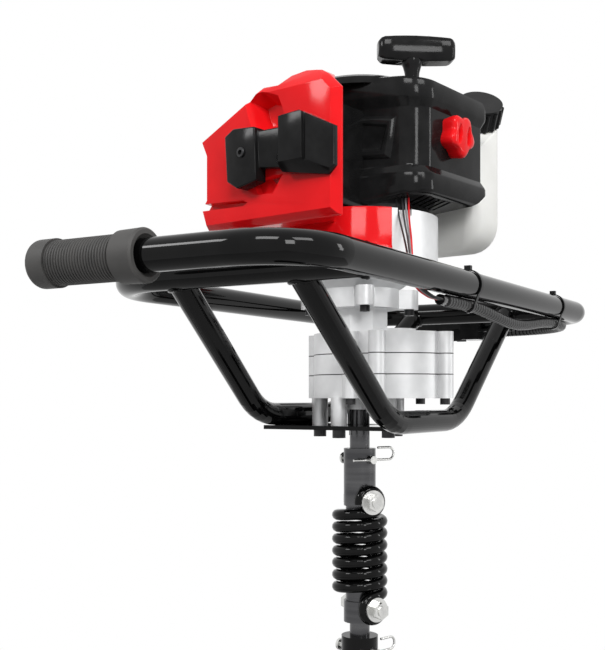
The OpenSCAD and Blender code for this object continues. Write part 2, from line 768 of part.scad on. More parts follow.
// A cross pin held by a spring clip bent from round wire
module clip_pin(z, turn, body_d) {
  reach = body_d / 2 + 7;
  clip_d = 2.4;
  loop_r = 6;
  translate([0, 0, z]) rotate([0, 0, turn]) {
    difference() {
      union() {
        rotate([0, 90, 0]) cylinder(d = cross_pin_d, h = 2 * reach, center = true);
        translate([-reach - 3, 0, 0]) rotate([0, 90, 0]) cylinder(d = 1.5 * cross_pin_d, h = 3);
      }
      translate([reach - 4, 0, -cross_pin_d]) cylinder(d = clip_d + 2 * fit, h = 2 * cross_pin_d);
    }
    translate([reach - 4, 0, 0]) rotate([0, 90, 0]) rotate([0, 0, 90]) {
      rotate([90, 0, 90]) cylinder(d = clip_d, h = 44, center = true);
      translate([22, loop_r, 0]) rotate([0, 0, -90]) rotate_extrude(angle = 180)
        translate([loop_r, 0]) circle(d = clip_d);
      translate([8, 2 * loop_r, 0]) rotate([0, 90, 0]) cylinder(d = clip_d, h = 14);
    }
  }
}
module coupling_pin() { color(steel) clip_pin(cross_pin_z, upper_pin_turn, sleeve_d); }

// Bolt through a spring eye into the sleeve or the stub, with washers and a nut
module eye_bolt(z, turn) {
  seat = spring_d / 2 + spring_wire / 2;
  color(alloy) translate([0, 0, z]) rotate([0, 0, turn]) rotate([0, 90, 0]) {
    translate([0, 0, -sleeve_d / 2 - 8]) cylinder(d = eye_bolt_d, h = sleeve_d / 2 + 8 + seat + 12);
    translate([0, 0, -sleeve_d / 2 - 7]) cylinder(d = 17, h = 7, $fn = 6);
    translate([0, 0, seat + 0.1]) cylinder(d = 24, h = 2.5);
    translate([0, 0, seat + 2.6]) cylinder(d = 17, h = 8, $fn = 6);
  }
}
module spring_bolt_upper() { eye_bolt(upper_eye_z, upper_eye_turn); }
module spring_bolt_lower() { eye_bolt(lower_eye_z, lower_eye_turn); }

// The shock spring: an upper eye, the helix and a lower eye, one unbroken wire
spring_rings = 8;
function radial(a) = [cos(a), sin(a), 0];
function onward(a) = [-sin(a), cos(a), 0];
helix_steps = floor(spring_turns * spring_rings);
helix_turns = [for (i = [0:helix_steps]) lower_eye_turn + (upper_eye_turn - lower_eye_turn)
  * i / helix_steps];
helix_path = [for (a = helix_turns) spring_d / 2 * radial(a)
  + [0, 0, spring_bottom_z + (a - lower_eye_turn) / 360 * spring_pitch]];
eye_steps = 8;
eye_angles = [for (i = [1:eye_steps]) eye_sweep * i / eye_steps];
function eye_point(z, turn, a, s) = spring_d / 2 * radial(turn) + s * eye_r * sin(a) * onward(turn)
  + [0, 0, z - s * eye_r * cos(a)];
spring_path = concat(
  [for (i = [eye_steps - 1:-1:0]) eye_point(lower_eye_z, lower_eye_turn, eye_angles[i], -1)], helix_path,
  [for (a = eye_angles) eye_point(upper_eye_z, upper_eye_turn, a, 1)]);
spring_refs = concat([for (a = eye_angles) radial(lower_eye_turn)], [for (a = helix_turns) radial(a)],
  [for (a = eye_angles) radial(upper_eye_turn)]);
spring_self_gap = min([for (i = [0:len(spring_path) - 1]) for (j = [i + 5:1:len(spring_path) - 1])
  norm(spring_path[i] - spring_path[j])]) - spring_wire;
module shock_spring() {
  echo(spring_self_gap = spring_self_gap);
  color("#101012") swept_tube(spring_path, spring_refs, [for (p = spring_path) spring_wire / 2], 6);
}

module spring_stub() {
  color(steel) difference() {
    union() {
      translate([0, 0, stub_hub_top_z - stub_hub_h]) cylinder(d = spigot_d, h = stub_hub_h);
      translate([0, 0, stub_hub_top_z - stub_hub_h])
        cylinder(d = sleeve_d, h = spring_bottom_z - coil_clear - stub_hub_top_z + stub_hub_h);
      translate([0, 0, socket_z - stub_l])
        cylinder(d = shaft_d, h = stub_hub_top_z - stub_hub_h - socket_z + stub_l + 1);
    }
    eye_hole(lower_eye_z, lower_eye_turn);
    pin_hole(bit_pin_z, lower_pin_turn);
  }
}

module bit_core() {
  color(black) difference() {
    union() {
      translate([0, 0, socket_z - socket_l]) cylinder(d = socket_d, h = socket_l);
      translate([0, 0, blade_z]) cylinder(d = core_d, h = socket_z - socket_l - blade_z + 1);
    }
    translate([0, 0, socket_z - stub_l - 1]) cylinder(d = shaft_d + 2 * fit, h = stub_l + 2);
    translate([0, 0, blade_z - 1]) cylinder(d = core_d - 2 * core_wall, h = bit_l - socket_l + 1);
    pin_hole(bit_pin_z, lower_pin_turn);
  }
}

// A screw plate round the core, right-handed, from height low over a number of turns
module screw_plate(low, turns, start) {
  steps = ceil(turns * 24);
  inner = core_d / 2 / cos(180 / 24) + weld_gap;
  ring_points = [for (i = [0:steps]) let (a = start + 360 * turns * i / steps,
    z = low + flight_pitch * turns * i / steps)
    each [inner * radial(a) + [0, 0, z], bit_d / 2 * radial(a) + [0, 0, z],
          bit_d / 2 * radial(a) + [0, 0, z + flight_t], inner * radial(a) + [0, 0, z + flight_t]]];
  sides = [for (i = [0:steps - 1]) for (j = [0:3]) let (a = 4 * i + j, b = 4 * i + (j + 1) % 4)
    each [[a, b, b + 4], [a, b + 4, a + 4]]];
  polyhedron(ring_points, concat(sides, [[0, 2, 1], [0, 3, 2], [4 * steps, 4 * steps + 1, 4 * steps + 2],
    [4 * steps, 4 * steps + 2, 4 * steps + 3]]));
}
blade_t = 6;
blade_w = 34;
// The flight is welded up from two lengths; the lower one has a half turn of a second start beside it
flight_low_z = blade_z + blade_t;
module bit_flight_lower() {
  color(black) {
    screw_plate(flight_low_z, flight_turns / 2, 0);
    screw_plate(flight_low_z, 0.5, 180);
  }
}
module bit_flight_upper() {
  half = flight_turns / 2;
  color(black) screw_plate(flight_low_z + flight_pitch * half, half, 360 * half);
}

// Two cutting blades, one at the foot of each flight, each with its two bolts
module bit_blades() {
  pitch_angle = atan(flight_pitch / (PI * bit_d));
  color(steel) for (s = [0, 180]) rotate([0, 0, s])
    translate([core_d / 2 + 2, 0, blade_z + blade_t - 0.8]) rotate([pitch_angle, 0, 0]) {
    translate([0, -12, -blade_t]) cube([bit_d / 2 - core_d / 2, blade_w, blade_t]);
    for (x = [14, 42]) translate([x, 10, -blade_t - 5]) cylinder(d = 13, h = 5, $fn = 6);
  }
}

module bit_point() {
  color(steel) {
    translate([0, 0, blade_z - 24]) cylinder(d1 = 20, d2 = core_d - 2 * core_wall - 0.1, h = 24);
    translate([0, 0, blade_z - 0.01]) cylinder(d = core_d - 2 * core_wall - 0.1, h = 30);
    translate([0, 0, blade_z - 64]) cylinder(d1 = 1.5, d2 = 20, h = 40);
  }
}

module bit_pin() { color(steel) clip_pin(bit_pin_z, lower_pin_turn, socket_d); }

// Aluminium fan housing: a flange on the gearbox, a cone and a drum round the flywheel
module fan_housing() {
  wall = 4;
  low = joint_flange_z;
  room_r = drum_r + 2;
  color(alloy) engine() difference() {
    union() {
      rotate_extrude() polygon([[0, low], [joint_flange_r, low], [joint_flange_r, low + lug_h], [fan_r, 32],
        [fan_r, case_flange_z], [0, case_flange_z]]);
      rotate([0, 0, -engine_yaw]) translate([0, 0, low]) linear_extrude(lug_h) flange_plan();
    }
    rotate_extrude() polygon([[0, low - 1], [room_r, low - 1], [room_r, low + lug_h + 2], [fan_r - wall, 34],
      [fan_r - wall, case_flange_z + 1], [0, case_flange_z + 1]]);
    rotate([0, 0, -engine_yaw]) flange_holes(low - 1, lug_h + 2);
  }
}

// Room for the control wires through the engine's edge
module wire_way() {
  rotate([0, 0, -engine_yaw]) translate([wire_entry.x, wire_entry.y, case_flange_z - 6])
    cylinder(d = wire_entry_d, h = 24);
}

module crankcase() {
  cav = crank_cavity_h / 2;
  color(alloy) engine() difference() {
    union() {
      translate([0, 0, case_flange_z]) cylinder(r = fan_r, h = 6);
      translate([0, 0, case_flange_z]) cylinder(r = crankcase_r, h = crankcase_top_z - case_flange_z);
      box([cylinder_x, -block_half, crank_z - block_half], [0, block_half, crank_z + block_half]);
      box([-20, -46, crank_z - 26], [20, 0, crank_z + 20]);
      box([30, -5, crank_z - 18], [tank_x, 20, crank_z - 4]);
    }
    translate([0, 0, crank_z - cav]) cylinder(r = crank_cavity_r, h = 2 * cav);
    along_x([cylinder_x - 1, 0, crank_z], bore_d + 2, -cylinder_x);
    for (z = [crank_z - cav - crank_bearing[2], crank_z + cav - 1])
      translate([0, 0, z]) cylinder(d = crank_bearing[1], h = crank_bearing[2] + 1);
    translate([0, 0, case_flange_z - 1]) cylinder(d = crank_d + 3, h = 120);
    along_y([0, -47, crank_z - 4], 16, 20);
    wire_way();
  }
}

module crankshaft() {
  half_gap = 9;
  color(steel) engine() {
    translate([0, 0, 8]) cylinder(d = crank_d, h = crank_z - half_gap - 8);
    for (s = [-1, 1]) translate([0, 0, crank_z + (s > 0 ? half_gap : -half_gap - 10)])
      cylinder(r = web_disc_r, h = 10);
    translate([15, 0, crank_z - half_gap - 0.01]) cylinder(d = 13, h = 2 * half_gap + 0.02);
    translate([0, 0, crank_z + half_gap]) cylinder(d = crank_d, h = recoil_z + 14 - crank_z - half_gap);
    translate([0, 0, recoil_z + 4]) difference() {
      cylinder(r = 18, h = 10);
      translate([0, 0, 4]) cylinder(r = 14, h = 7);
    }
  }
}

// The flywheel is the engine's fan and sits under the crankcase
module flywheel() {
  color(alloy) engine() translate([0, 0, 38]) {
    ring(2 * fan_r - 14, crank_d + 2 * fit, 6);
    ring(36, crank_d + 2 * fit, 20);
    for (a = [0:20:340]) rotate([0, 0, a]) box([34, -1.2, 5.9], [fan_r - 9, 1.2, 22]);
  }
}

module clutch_shoes() {
  out_r = drum_r - drum_wall - 0.6;
  color(steel) engine() translate([0, 0, 6]) for (s = [0, 180])
    rotate([0, 0, s]) linear_extrude(16) difference() {
    circle(r = out_r);
    circle(d = crank_d + 2 * fit);
    translate([-out_r, -out_r]) square([2 * out_r, out_r + 1]);
  }
}

// Finned aluminium cylinder lying along -X of the engine, with its head closed
module cylinder_fins() {
  for (i = [0:7]) translate([cylinder_x - 8 - 6 * i, 0, crank_z]) cube([2.4, 78, 70], center = true);
}
module cylinder_block() {
  color(alloy) engine() difference() {
    union() {
      along_x([head_x, 0, crank_z], bore_d + 10, cylinder_x - head_x);
      box([cylinder_x - 5, -block_half, crank_z - block_half],
        [cylinder_x, block_half, crank_z + block_half]);
      cylinder_fins();
      box([-82, 20, crank_z - 16], [-58, 44, crank_z + 16]);
    }
    along_x([head_x + head_t, 0, crank_z], bore_d + 2 * fit, cylinder_x - head_x);
    along_x([head_x - 1, 0, crank_z], 14 + 2 * fit, 10);
    along_y([-70, 15, crank_z], 18, 40);
  }
}

module piston() {
  crown_x = head_x + head_t + stroke / 2 + head_clear;
  color(alloy) engine() difference() {
    along_x([crown_x, 0, crank_z], bore_d, 36);
    along_x([crown_x + 6, 0, crank_z], bore_d - 6, 36);
  }
}

module spark_plug() {
  color("#d8d4cc") engine() {
    along_x([head_x - 2, 0, crank_z], 14, 8);
    translate([head_x - 7, 0, crank_z]) rotate([0, 90, 0]) cylinder(d = 20, h = 7 - fit, $fn = 6);
    along_x([head_x - 16, 0, crank_z], 10, 9.01);
  }
}

// Front view of a moulded cover, as points across and up, set upright across X
module facing(x, depth) { translate([x, 0, 0]) rotate([90, 0, 90]) linear_extrude(depth) children(); }

plug_outline = [[66, 145], [52, 152], [-1, 147], [-14, 155], [-27, 155], [-68, 135], [-64, 99],
  [-28, 95], [-10, 100], [25, 95], [62, 101]];
module plug_cover() {
  color(black) engine() difference() {
    facing(plug_x, shroud_x - plug_x) polygon(plug_outline);
    facing(plug_x + cover_wall, shroud_x - plug_x) offset(delta = -cover_wall) polygon(plug_outline);
  }
}

shroud_outline = [[109, 62], [116, 82], [109, 90], [109, 137], [116, 152], [105, 157], [54, 181],
  [34, 193], [15, 192], [3, 198], [-13, 200], [-33, 196], [-41, 191], [-55, 177], [-55, 62]];
skirt_from = 100;
skirt_turn = 138;
skirt_z = 36;
module engine_shroud() {
  color(red) engine() {
    shroud_shell();
    rotate([0, 0, skirt_from]) rotate_extrude(angle = skirt_turn) translate([fan_r + 2 * gap, skirt_z])
      square([cover_wall, case_flange_z + 6 - skirt_z]);
  }
}
module shroud_shell() {
  difference() {
    facing(shroud_x, shroud_back_x - shroud_x) polygon(shroud_outline);
    facing(shroud_x + cover_wall, shroud_back_x - shroud_x) offset(delta = -cover_wall)
      polygon(shroud_outline);
    linear_extrude(300) polygon([[shroud_x + 12, -70], [shroud_x + 12, -46], [filter_x, filter_back_y + 5],
      [0, filter_back_y + 5], [0, -70]]);
    translate([0, 0, 40]) cylinder(r = fan_r + gap, h = 38);
    translate([0, 0, recoil_z - 1]) cylinder(r = recoil_r + gap, h = recoil_h + 2);
    along_x([shroud_x - 1, 0, crank_z], 30, 10);
  }
}

module muffler() {
  color(steel) engine() difference() {
    union() {
      box([-98, 44, crank_z - 34], [-24, 98, crank_z + 26]);
      along_y([-40, 98, crank_z - 10], 16, 6);
    }
    box([-96, 46, crank_z - 32], [-26, 96, crank_z + 24]);
    along_y([-70, 43, crank_z], 18, 4);
    along_y([-40, 95, crank_z - 10], 12, 10);
  }
}

module carburettor() {
  color(alloy) engine() difference() {
    union() {
      box([-20, -74, crank_z - 23], [20, -46, crank_z + 18]);
      along_y([0, plate_y + filter_plate_t, crank_z - 4], 30, -73 - plate_y - filter_plate_t);
    }
    along_y([0, plate_y, crank_z - 4], 16, 46);
  }
}

// Air filter: base plate with the stud, foam element, cover and knob
filter_plate_t = 3;
element_t = 5;
plate_y = filter_y + filter_band + cover_wall + 2 * gap + element_t + gap;
plate_inset = 12;
element_inset = 20;
module filter_base() {
  color("#5b5d60") engine() {
    difference() {
      box([filter_x + plate_inset, plate_y, filter_z + 14],
        [filter_x + filter_w - plate_inset - filter_far_r, plate_y + filter_plate_t,
          filter_z + filter_h - 5]);
      along_y([0, plate_y - 1, crank_z - 4], 16, filter_plate_t + 2);
    }
    along_y([knob_x, filter_y + filter_band - 12, knob_z], 6, plate_y - filter_y - filter_band + 12);
  }
}

module filter_element() {
  color("#3a3a3c") engine() difference() {
    box([filter_x + element_inset, plate_y - gap - element_t, filter_z + filter_foot_h + 2],
      [filter_x + filter_w - element_inset - 6, plate_y - gap, filter_z + filter_h - 12]);
    along_y([knob_x, plate_y - element_t - 2, knob_z], 10, element_t + 4);
  }
}

// Plan of the filter cover: a box open behind, with its two front corners rounded
module filter_plan(inset, back) {
  low = filter_x + inset;
  high = filter_x + filter_w - inset;
  front = filter_y + inset;
  near_r = filter_near_r - inset;
  far_r = filter_far_r - inset;
  polygon(concat([[low, back]], corner([low + near_r, front + near_r], near_r, 180),
    corner([high - far_r, front + far_r], far_r, 270), [[high, back]]));
}
// What the slope at the far lower end takes away, moved in by a wall
module filter_slope(wall) {
  high = filter_x + filter_w;
  rotate([90, 0, 0]) linear_extrude(2 * -filter_y) polygon([[high - filter_slope_l, filter_z + wall],
    [high + 1, filter_z + wall + filter_foot_h * (filter_slope_l + 1) / filter_slope_l],
    [high + 1, filter_z - 1], [high - filter_slope_l, filter_z - 1]]);
}
// A wide band at the foot and at the head, with the wall set back between them
module filter_body() {
  head_z = filter_z + filter_h - filter_head_h;
  translate([0, 0, filter_z]) linear_extrude(filter_foot_h) filter_plan(0, filter_back_y);
  translate([0, 0, filter_z]) linear_extrude(filter_h) filter_plan(filter_band, filter_back_y);
  translate([0, 0, head_z]) linear_extrude(filter_head_h) filter_plan(0, filter_back_y);
}
module filter_cover() {
  color(black) engine() difference() {
    filter_body();
    filter_slope(0);
    difference() {
      translate([0, 0, filter_z + cover_wall]) linear_extrude(filter_h - 2 * cover_wall)
        filter_plan(filter_band + cover_wall, filter_back_y + 1);
      filter_slope(cover_wall);
    }
    along_y([knob_x, filter_y - 1, knob_z], 7, filter_band + cover_wall + 2);
    wire_way();
    box([cylinder_x - 1, -block_half - gap, crank_z - block_half - gap], [0, 0, crank_z + block_half + gap]);
    translate([0, 0, case_flange_z]) cylinder(r = fan_r + gap, h = 6 + gap);
    translate([0, 0, case_flange_z]) cylinder(r = crankcase_r + gap, h = recoil_z - case_flange_z);
    translate([0, 0, recoil_z - gap]) cylinder(r = recoil_r + gap, h = recoil_h);
  }
}

module filter_knob() {
  lobes = 5;
  depth = 14;
  color(red) engine() translate([knob_x, filter_y + filter_band - gap, knob_z])
    rotate([90, 0, 0]) difference() {
    union() {
      cylinder(d = knob_d - 8, h = depth);
      for (p = ring_at(knob_d / 2 - 7, lobes, 18)) translate([p.x, p.y, 0]) cylinder(r = 7, h = depth);
    }
    translate([0, 0, -1]) cylinder(d = 6 + 2 * fit, h = depth - 1);
  }
}

// A blow-moulded form: rounded upright edges, rounded lower edges, a shoulder square to the cap
module tank_form(wall) {
  low = [tank_x + wall, tank_y + wall];
  high = [tank_x + tank_l - wall, tank_y + tank_w - wall];
  edge = tank_edge - wall;
  foot = tank_round - wall;
  plan = concat(corner([low.x + edge, low.y + edge], edge, 180),
    corner([high.x - edge, low.y + edge], edge, 270),
    corner([high.x - edge, high.y - edge], edge, 0), corner([low.x + edge, high.y - edge], edge, 90));
  side = concat(corner([low.y + foot, tank_z + tank_round], foot, 180),
    corner([high.y - foot, tank_z + tank_round], foot, 270),
    [[high.y, tank_z + tank_h], [low.y, tank_z + tank_h]]);
  difference() {
    intersection() {
      linear_extrude(tank_z + tank_h - wall) polygon(plan);
      facing(tank_x, tank_l) polygon(side);
    }
    translate(cap_at) rotate(cap_tilt) translate([-200, -200, cap_lift - 2 - wall]) cube([400, 400, 200]);
  }
}
module fuel_tank() {
  wall = 3;
  color("#ecebe4") engine() difference() {
    union() {
      tank_form(0);
      translate(cap_at) rotate(cap_tilt) translate([0, 0, -6])
        cylinder(r = neck_bore_r, h = 6 + cap_lift + cap_h - 4);
    }
    tank_form(wall);
    translate(cap_at) rotate(cap_tilt) translate([0, 0, -14])
      cylinder(r = neck_bore_r - wall, h = 14 + cap_lift + cap_h);
  }
}

module fuel_cap() {
  ribs = 16;
  color(black) engine() translate(cap_at) rotate(cap_tilt) translate([0, 0, cap_lift]) difference() {
    union() {
      cylinder(d = cap_d - 4, h = cap_h);
      for (p = ring_at(cap_d / 2 - 3, ribs, 0)) translate([p.x, p.y, 0]) cylinder(r = 3, h = cap_h - 3);
    }
    translate([0, 0, -1]) cylinder(r = neck_bore_r + fit, h = cap_h - 3 + gap);
  }
}

module recoil_housing() {
  wall = 2.5;
  color(black) engine() difference() {
    union() {
      difference() {
        translate([0, 0, recoil_z]) cylinder(r = recoil_r, h = recoil_h);
        translate([0, 0, recoil_z + 3]) cylinder(r = recoil_r - wall, h = recoil_h - 6);
        translate([0, 0, recoil_z - 1]) cylinder(r = crankcase_r - 4, h = 5);
      }
      translate([0, 0, recoil_z + 18]) cylinder(d = 12, h = recoil_h - 19);
    }
    translate([pull_at.x, pull_at.y, recoil_z + recoil_h - 5]) cylinder(d = rope_d + 1.4, h = 10);
  }
}

module starter_reel() {
  color("#2e2e32") engine() translate([0, 0, recoil_z + 22]) difference() {
    cylinder(r = reel_r, h = 18);
    translate([0, 0, -1]) cylinder(d = 12 + 2 * fit, h = 20);
    translate([0, 0, 4]) ring(2 * reel_r + 2, 2 * reel_r - 10, 10);
  }
}

// A T handle: a tapered neck under a bar with round ends, drawn in towards its foot
module pull_bar(w, h) {
  half = pull_l / 2;
  tip = 5;
  plan = concat(corner([tip - half, tip - w / 2], tip, 180), corner([half - tip, tip - w / 2], tip, 270),
    corner([half - tip, w / 2 - tip], tip, 0), corner([tip - half, w / 2 - tip], tip, 90));
  face = [[half - 4, 0], [half, 6], [half, h - 5], [half - 5, h - 1], [0, h], [5 - half, h - 1],
    [-half, h - 5], [-half, 6], [4 - half, 0]];
  intersection() {
    linear_extrude(h) polygon(plan);
    rotate([90, 0, 0]) linear_extrude(2 * w, center = true) polygon(face);
  }
}
module starter_handle() {
  color(black) engine() translate([pull_at.x, pull_at.y, pull_z]) difference() {
    union() {
      cylinder(d1 = 13, d2 = 18, h = pull_neck_h + 1);
      translate([0, 0, pull_neck_h]) rotate([0, 0, pull_turn]) pull_bar(pull_grip_d, pull_bar_h);
    }
    translate([0, 0, -1]) cylinder(d = rope_d + 0.2, h = 16);
  }
}

module starter_rope() {
  color("#d9d6cf") engine() translate([pull_at.x, pull_at.y, recoil_z + recoil_h - 14])
    cylinder(d = rope_d, h = 30);
}

operator_bar();
loop_tube();
cradle_tube_front();
cradle_tube_rear();
gearbox_plate();
plate_bolts();
hand_grip();
throttle_handle();
throttle_trigger();
throttle_lock();
stop_switch();
loom_ferrule();
throttle_loom();
loom_ties();
control_wires();
gearbox_top_cover();
gearbox_middle_case();
gearbox_bottom_cover();
case_bolts();
bearings();
output_seal();
output_gear();
output_shaft();
counter_shaft();
counter_gear();
clutch_drum();
coupling_sleeve();
coupling_pin();
spring_bolt_upper();
shock_spring();
spring_stub();
spring_bolt_lower();
bit_core();
bit_flight_lower();
bit_flight_upper();
bit_blades();
bit_point();
bit_pin();
fan_housing();
crankcase();
crankshaft();
flywheel();
clutch_shoes();
cylinder_block();  // cylinder
piston();
spark_plug();
plug_cover();
engine_shroud();
muffler();
carburettor();
filter_base();
filter_element();
filter_cover();
filter_knob();
fuel_tank();
fuel_cap();
recoil_housing();
starter_reel();
starter_handle();
starter_rope();
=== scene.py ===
from math import cos, pi, radians, sin, sqrt
import bpy
from mathutils import Matrix, Vector


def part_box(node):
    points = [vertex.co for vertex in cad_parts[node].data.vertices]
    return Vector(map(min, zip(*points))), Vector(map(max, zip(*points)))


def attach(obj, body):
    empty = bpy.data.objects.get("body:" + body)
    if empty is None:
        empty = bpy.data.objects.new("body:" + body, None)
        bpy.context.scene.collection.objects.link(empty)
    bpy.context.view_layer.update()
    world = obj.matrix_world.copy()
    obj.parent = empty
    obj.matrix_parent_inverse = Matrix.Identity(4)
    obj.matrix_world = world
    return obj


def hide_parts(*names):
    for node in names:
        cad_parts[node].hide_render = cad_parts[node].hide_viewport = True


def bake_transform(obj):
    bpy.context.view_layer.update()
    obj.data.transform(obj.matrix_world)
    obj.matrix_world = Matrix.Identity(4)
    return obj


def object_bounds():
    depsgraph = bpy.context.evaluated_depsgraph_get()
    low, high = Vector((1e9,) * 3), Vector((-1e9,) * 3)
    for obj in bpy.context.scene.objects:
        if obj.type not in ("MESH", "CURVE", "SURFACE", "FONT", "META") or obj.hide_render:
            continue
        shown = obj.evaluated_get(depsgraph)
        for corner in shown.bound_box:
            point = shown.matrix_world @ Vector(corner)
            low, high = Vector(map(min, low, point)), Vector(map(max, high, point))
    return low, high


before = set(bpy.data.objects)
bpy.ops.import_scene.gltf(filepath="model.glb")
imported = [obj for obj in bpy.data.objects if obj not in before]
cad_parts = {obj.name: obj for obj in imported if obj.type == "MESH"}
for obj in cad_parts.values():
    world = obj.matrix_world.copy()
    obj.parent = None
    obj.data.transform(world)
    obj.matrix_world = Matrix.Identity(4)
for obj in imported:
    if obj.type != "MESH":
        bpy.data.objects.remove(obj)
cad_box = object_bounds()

# Camera: the auger stands on its bit and is seen from its left front, level, at the height of its frame.
# The picture is taller than wide, and the horizon lies below its middle.
eye, heading = (-0.911, -0.472, -0.1009), radians(-59.4)
bpy.ops.object.camera_add(location=eye, rotation=(radians(90), 0, heading))
camera = bpy.context.object
camera.data.lens = 56.5
camera.data.shift_y = 0.111
bpy.context.scene.camera = camera
bpy.context.scene.view_settings.view_transform = "Standard"

# Studio: a pale floor under the bit, a white surround, four soft boxes and a strip light.
# The surround is white where it is seen or mirrored, and dimmer where it lights the auger.
floor_size, floor_z = 3, cad_box[0][2] - 0.002
bpy.ops.mesh.primitive_plane_add(size=floor_size, location=(0, 0, floor_z))
floor = bpy.context.object
floor.name = "floor"
floor_paint = bpy.data.materials.new("pale_floor")
floor_paint.use_nodes = True
floor_body = floor_paint.node_tree.nodes["Principled BSDF"]
floor_body.inputs["Base Color"].default_value = (0.86, 0.86, 0.86, 1)
floor_body.inputs["Roughness"].default_value = 0.8
floor.data.materials.append(floor_paint)
world = bpy.data.worlds.new("white_surround")
bpy.context.scene.world = world
world.use_nodes = True
sky = world.node_tree
sky.nodes.clear()
ray = sky.nodes.new("ShaderNodeLightPath")
seen = sky.nodes.new("ShaderNodeMath")
seen.operation = "MAXIMUM"
shown = sky.nodes.new("ShaderNodeMath")
shown.operation = "MAXIMUM"
dim = sky.nodes.new("ShaderNodeBackground")
dim.inputs["Color"].default_value = (1, 1, 1, 1)
dim.inputs["Strength"].default_value = 0.26
white = sky.nodes.new("ShaderNodeBackground")
white.inputs["Color"].default_value = (1, 1, 1, 1)
white.inputs["Strength"].default_value = 1.0
pick = sky.nodes.new("ShaderNodeMixShader")
out = sky.nodes.new("ShaderNodeOutputWorld")
sky.links.new(ray.outputs["Is Glossy Ray"], shown.inputs[0])
sky.links.new(ray.outputs["Is Transmission Ray"], shown.inputs[1])
sky.links.new(ray.outputs["Is Camera Ray"], seen.inputs[0])
sky.links.new(shown.outputs[0], seen.inputs[1])
sky.links.new(seen.outputs[0], pick.inputs["Fac"])
sky.links.new(dim.outputs[0], pick.inputs[1])
sky.links.new(white.outputs[0], pick.inputs[2])
sky.links.new(pick.outputs[0], out.inputs["Surface"])
lamps = (((-1.6, -0.7, 1.4), (0, 0, 0.05), 0.8, 0.55, 22), ((-0.7, -1.7, 1.4), (0, 0, 0.05), 0.8, 0.55, 17),
         ((0.9, -1.9, 0.4), (0, 0, 0), 0.25, 1.0, 7), ((-1.5, 1.05, 1.1), (0, 0, 0.05), 0.7, 0.35, 13),
         ((-1.2, -1.33, 0.56), (0, 0, 0.1), 0.3, 0.6, 9))
for place, aim, wide, tall, power in lamps:
    bpy.ops.object.light_add(type="AREA", location=place)
    lamp = bpy.context.object
    lamp.data.shape = "RECTANGLE"
    lamp.data.size = wide
    lamp.data.size_y = tall
    lamp.data.energy = power
    lamp.rotation_euler = (Vector(aim) - Vector(place)).to_track_quat("-Z", "Y").to_euler()

# Frame: steel tubes bent to shape, coped, welded and coated in gloss black enamel.
# The coat is smooth with a little orange peel, and a rippled weld bead runs round each coped end.
def surface_group(name):
    """A noise pattern: Value runs 0 to 1 over the surface, and Height is its fine grain."""
    group = bpy.data.node_groups.new(name, "ShaderNodeTree")
    for label, kind in (("Scale", "NodeSocketFloat"), ("Fine", "NodeSocketFloat"),
                        ("Stretch", "NodeSocketVector")):
        group.interface.new_socket(label, in_out="INPUT", socket_type=kind)
    for label in ("Value", "Height"):
        group.interface.new_socket(label, in_out="OUTPUT", socket_type="NodeSocketFloat")
    into = group.nodes.new("NodeGroupInput")
    outof = group.nodes.new("NodeGroupOutput")
    place = group.nodes.new("ShaderNodeTexCoord")
    stretch = group.nodes.new("ShaderNodeVectorMath")
    stretch.operation = "MULTIPLY"
    coarse = group.nodes.new("ShaderNodeTexNoise")
    coarse.inputs["Detail"].default_value = 3
    fine = group.nodes.new("ShaderNodeTexNoise")
    fine.inputs["Detail"].default_value = 2
    group.links.new(place.outputs["Object"], stretch.inputs[0])
    group.links.new(into.outputs["Stretch"], stretch.inputs[1])
    for noise, socket in ((coarse, "Scale"), (fine, "Fine")):
        group.links.new(stretch.outputs[0], noise.inputs["Vector"])
        group.links.new(into.outputs[socket], noise.inputs["Scale"])
    group.links.new(coarse.outputs["Fac"], outof.inputs["Value"])
    group.links.new(fine.outputs["Fac"], outof.inputs["Height"])
    return group

grain = surface_group("grain")

def finish_of(name, dark, light, rough, metal=0.0, ior=1.45, scale=40, fine=600, bump=0.05, depth=0.0002,
              stretch=(1, 1, 1)):
    """A material whose colour and roughness drift between two values, with a fine bump."""
    made = bpy.data.materials.new(name)
    made.use_nodes = True
    tree = made.node_tree
    body = tree.nodes["Principled BSDF"]
    body.inputs["Metallic"].default_value = metal
    body.inputs["IOR"].default_value = ior
    made_grain = tree.nodes.new("ShaderNodeGroup")
    made_grain.node_tree = grain
    made_grain.inputs["Scale"].default_value = scale
    made_grain.inputs["Fine"].default_value = fine
    made_grain.inputs["Stretch"].default_value = stretch
    tone = tree.nodes.new("ShaderNodeValToRGB")
    tone.name = "tone"
    tone.color_ramp.elements[0].position = 0.35
    tone.color_ramp.elements[1].position = 0.68
    tone.color_ramp.elements[0].color = (*dark, 1)
    tone.color_ramp.elements[1].color = (*light, 1)
    gloss = tree.nodes.new("ShaderNodeMapRange")
    gloss.inputs["From Min"].default_value = 0.3
    gloss.inputs["From Max"].default_value = 0.7
    gloss.inputs["To Min"].default_value = rough[0]
    gloss.inputs["To Max"].default_value = rough[1]
    relief = tree.nodes.new("ShaderNodeBump")
    relief.inputs["Strength"].default_value = bump
    relief.inputs["Distance"].default_value = depth
    tree.links.new(made_grain.outputs["Value"], tone.inputs["Fac"])
    tree.links.new(made_grain.outputs["Value"], gloss.inputs["Value"])
    tree.links.new(made_grain.outputs["Height"], relief.inputs["Height"])
    tree.links.new(tone.outputs["Color"], body.inputs["Base Color"])
    tree.links.new(gloss.outputs["Result"], body.inputs["Roughness"])
    tree.links.new(relief.outputs["Normal"], body.inputs["Normal"])
    return made

def coat_nodes(material, *names):
    """Gives CAD nodes their finish."""
    for each in names:
        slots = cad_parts[each].data.materials
        slots.clear()
        slots.append(material)

def take(piece):
    """Selects one piece alone."""
    bpy.ops.object.select_all(action="DESELECT")
    piece.select_set(True)
    bpy.context.view_layer.objects.active = piece

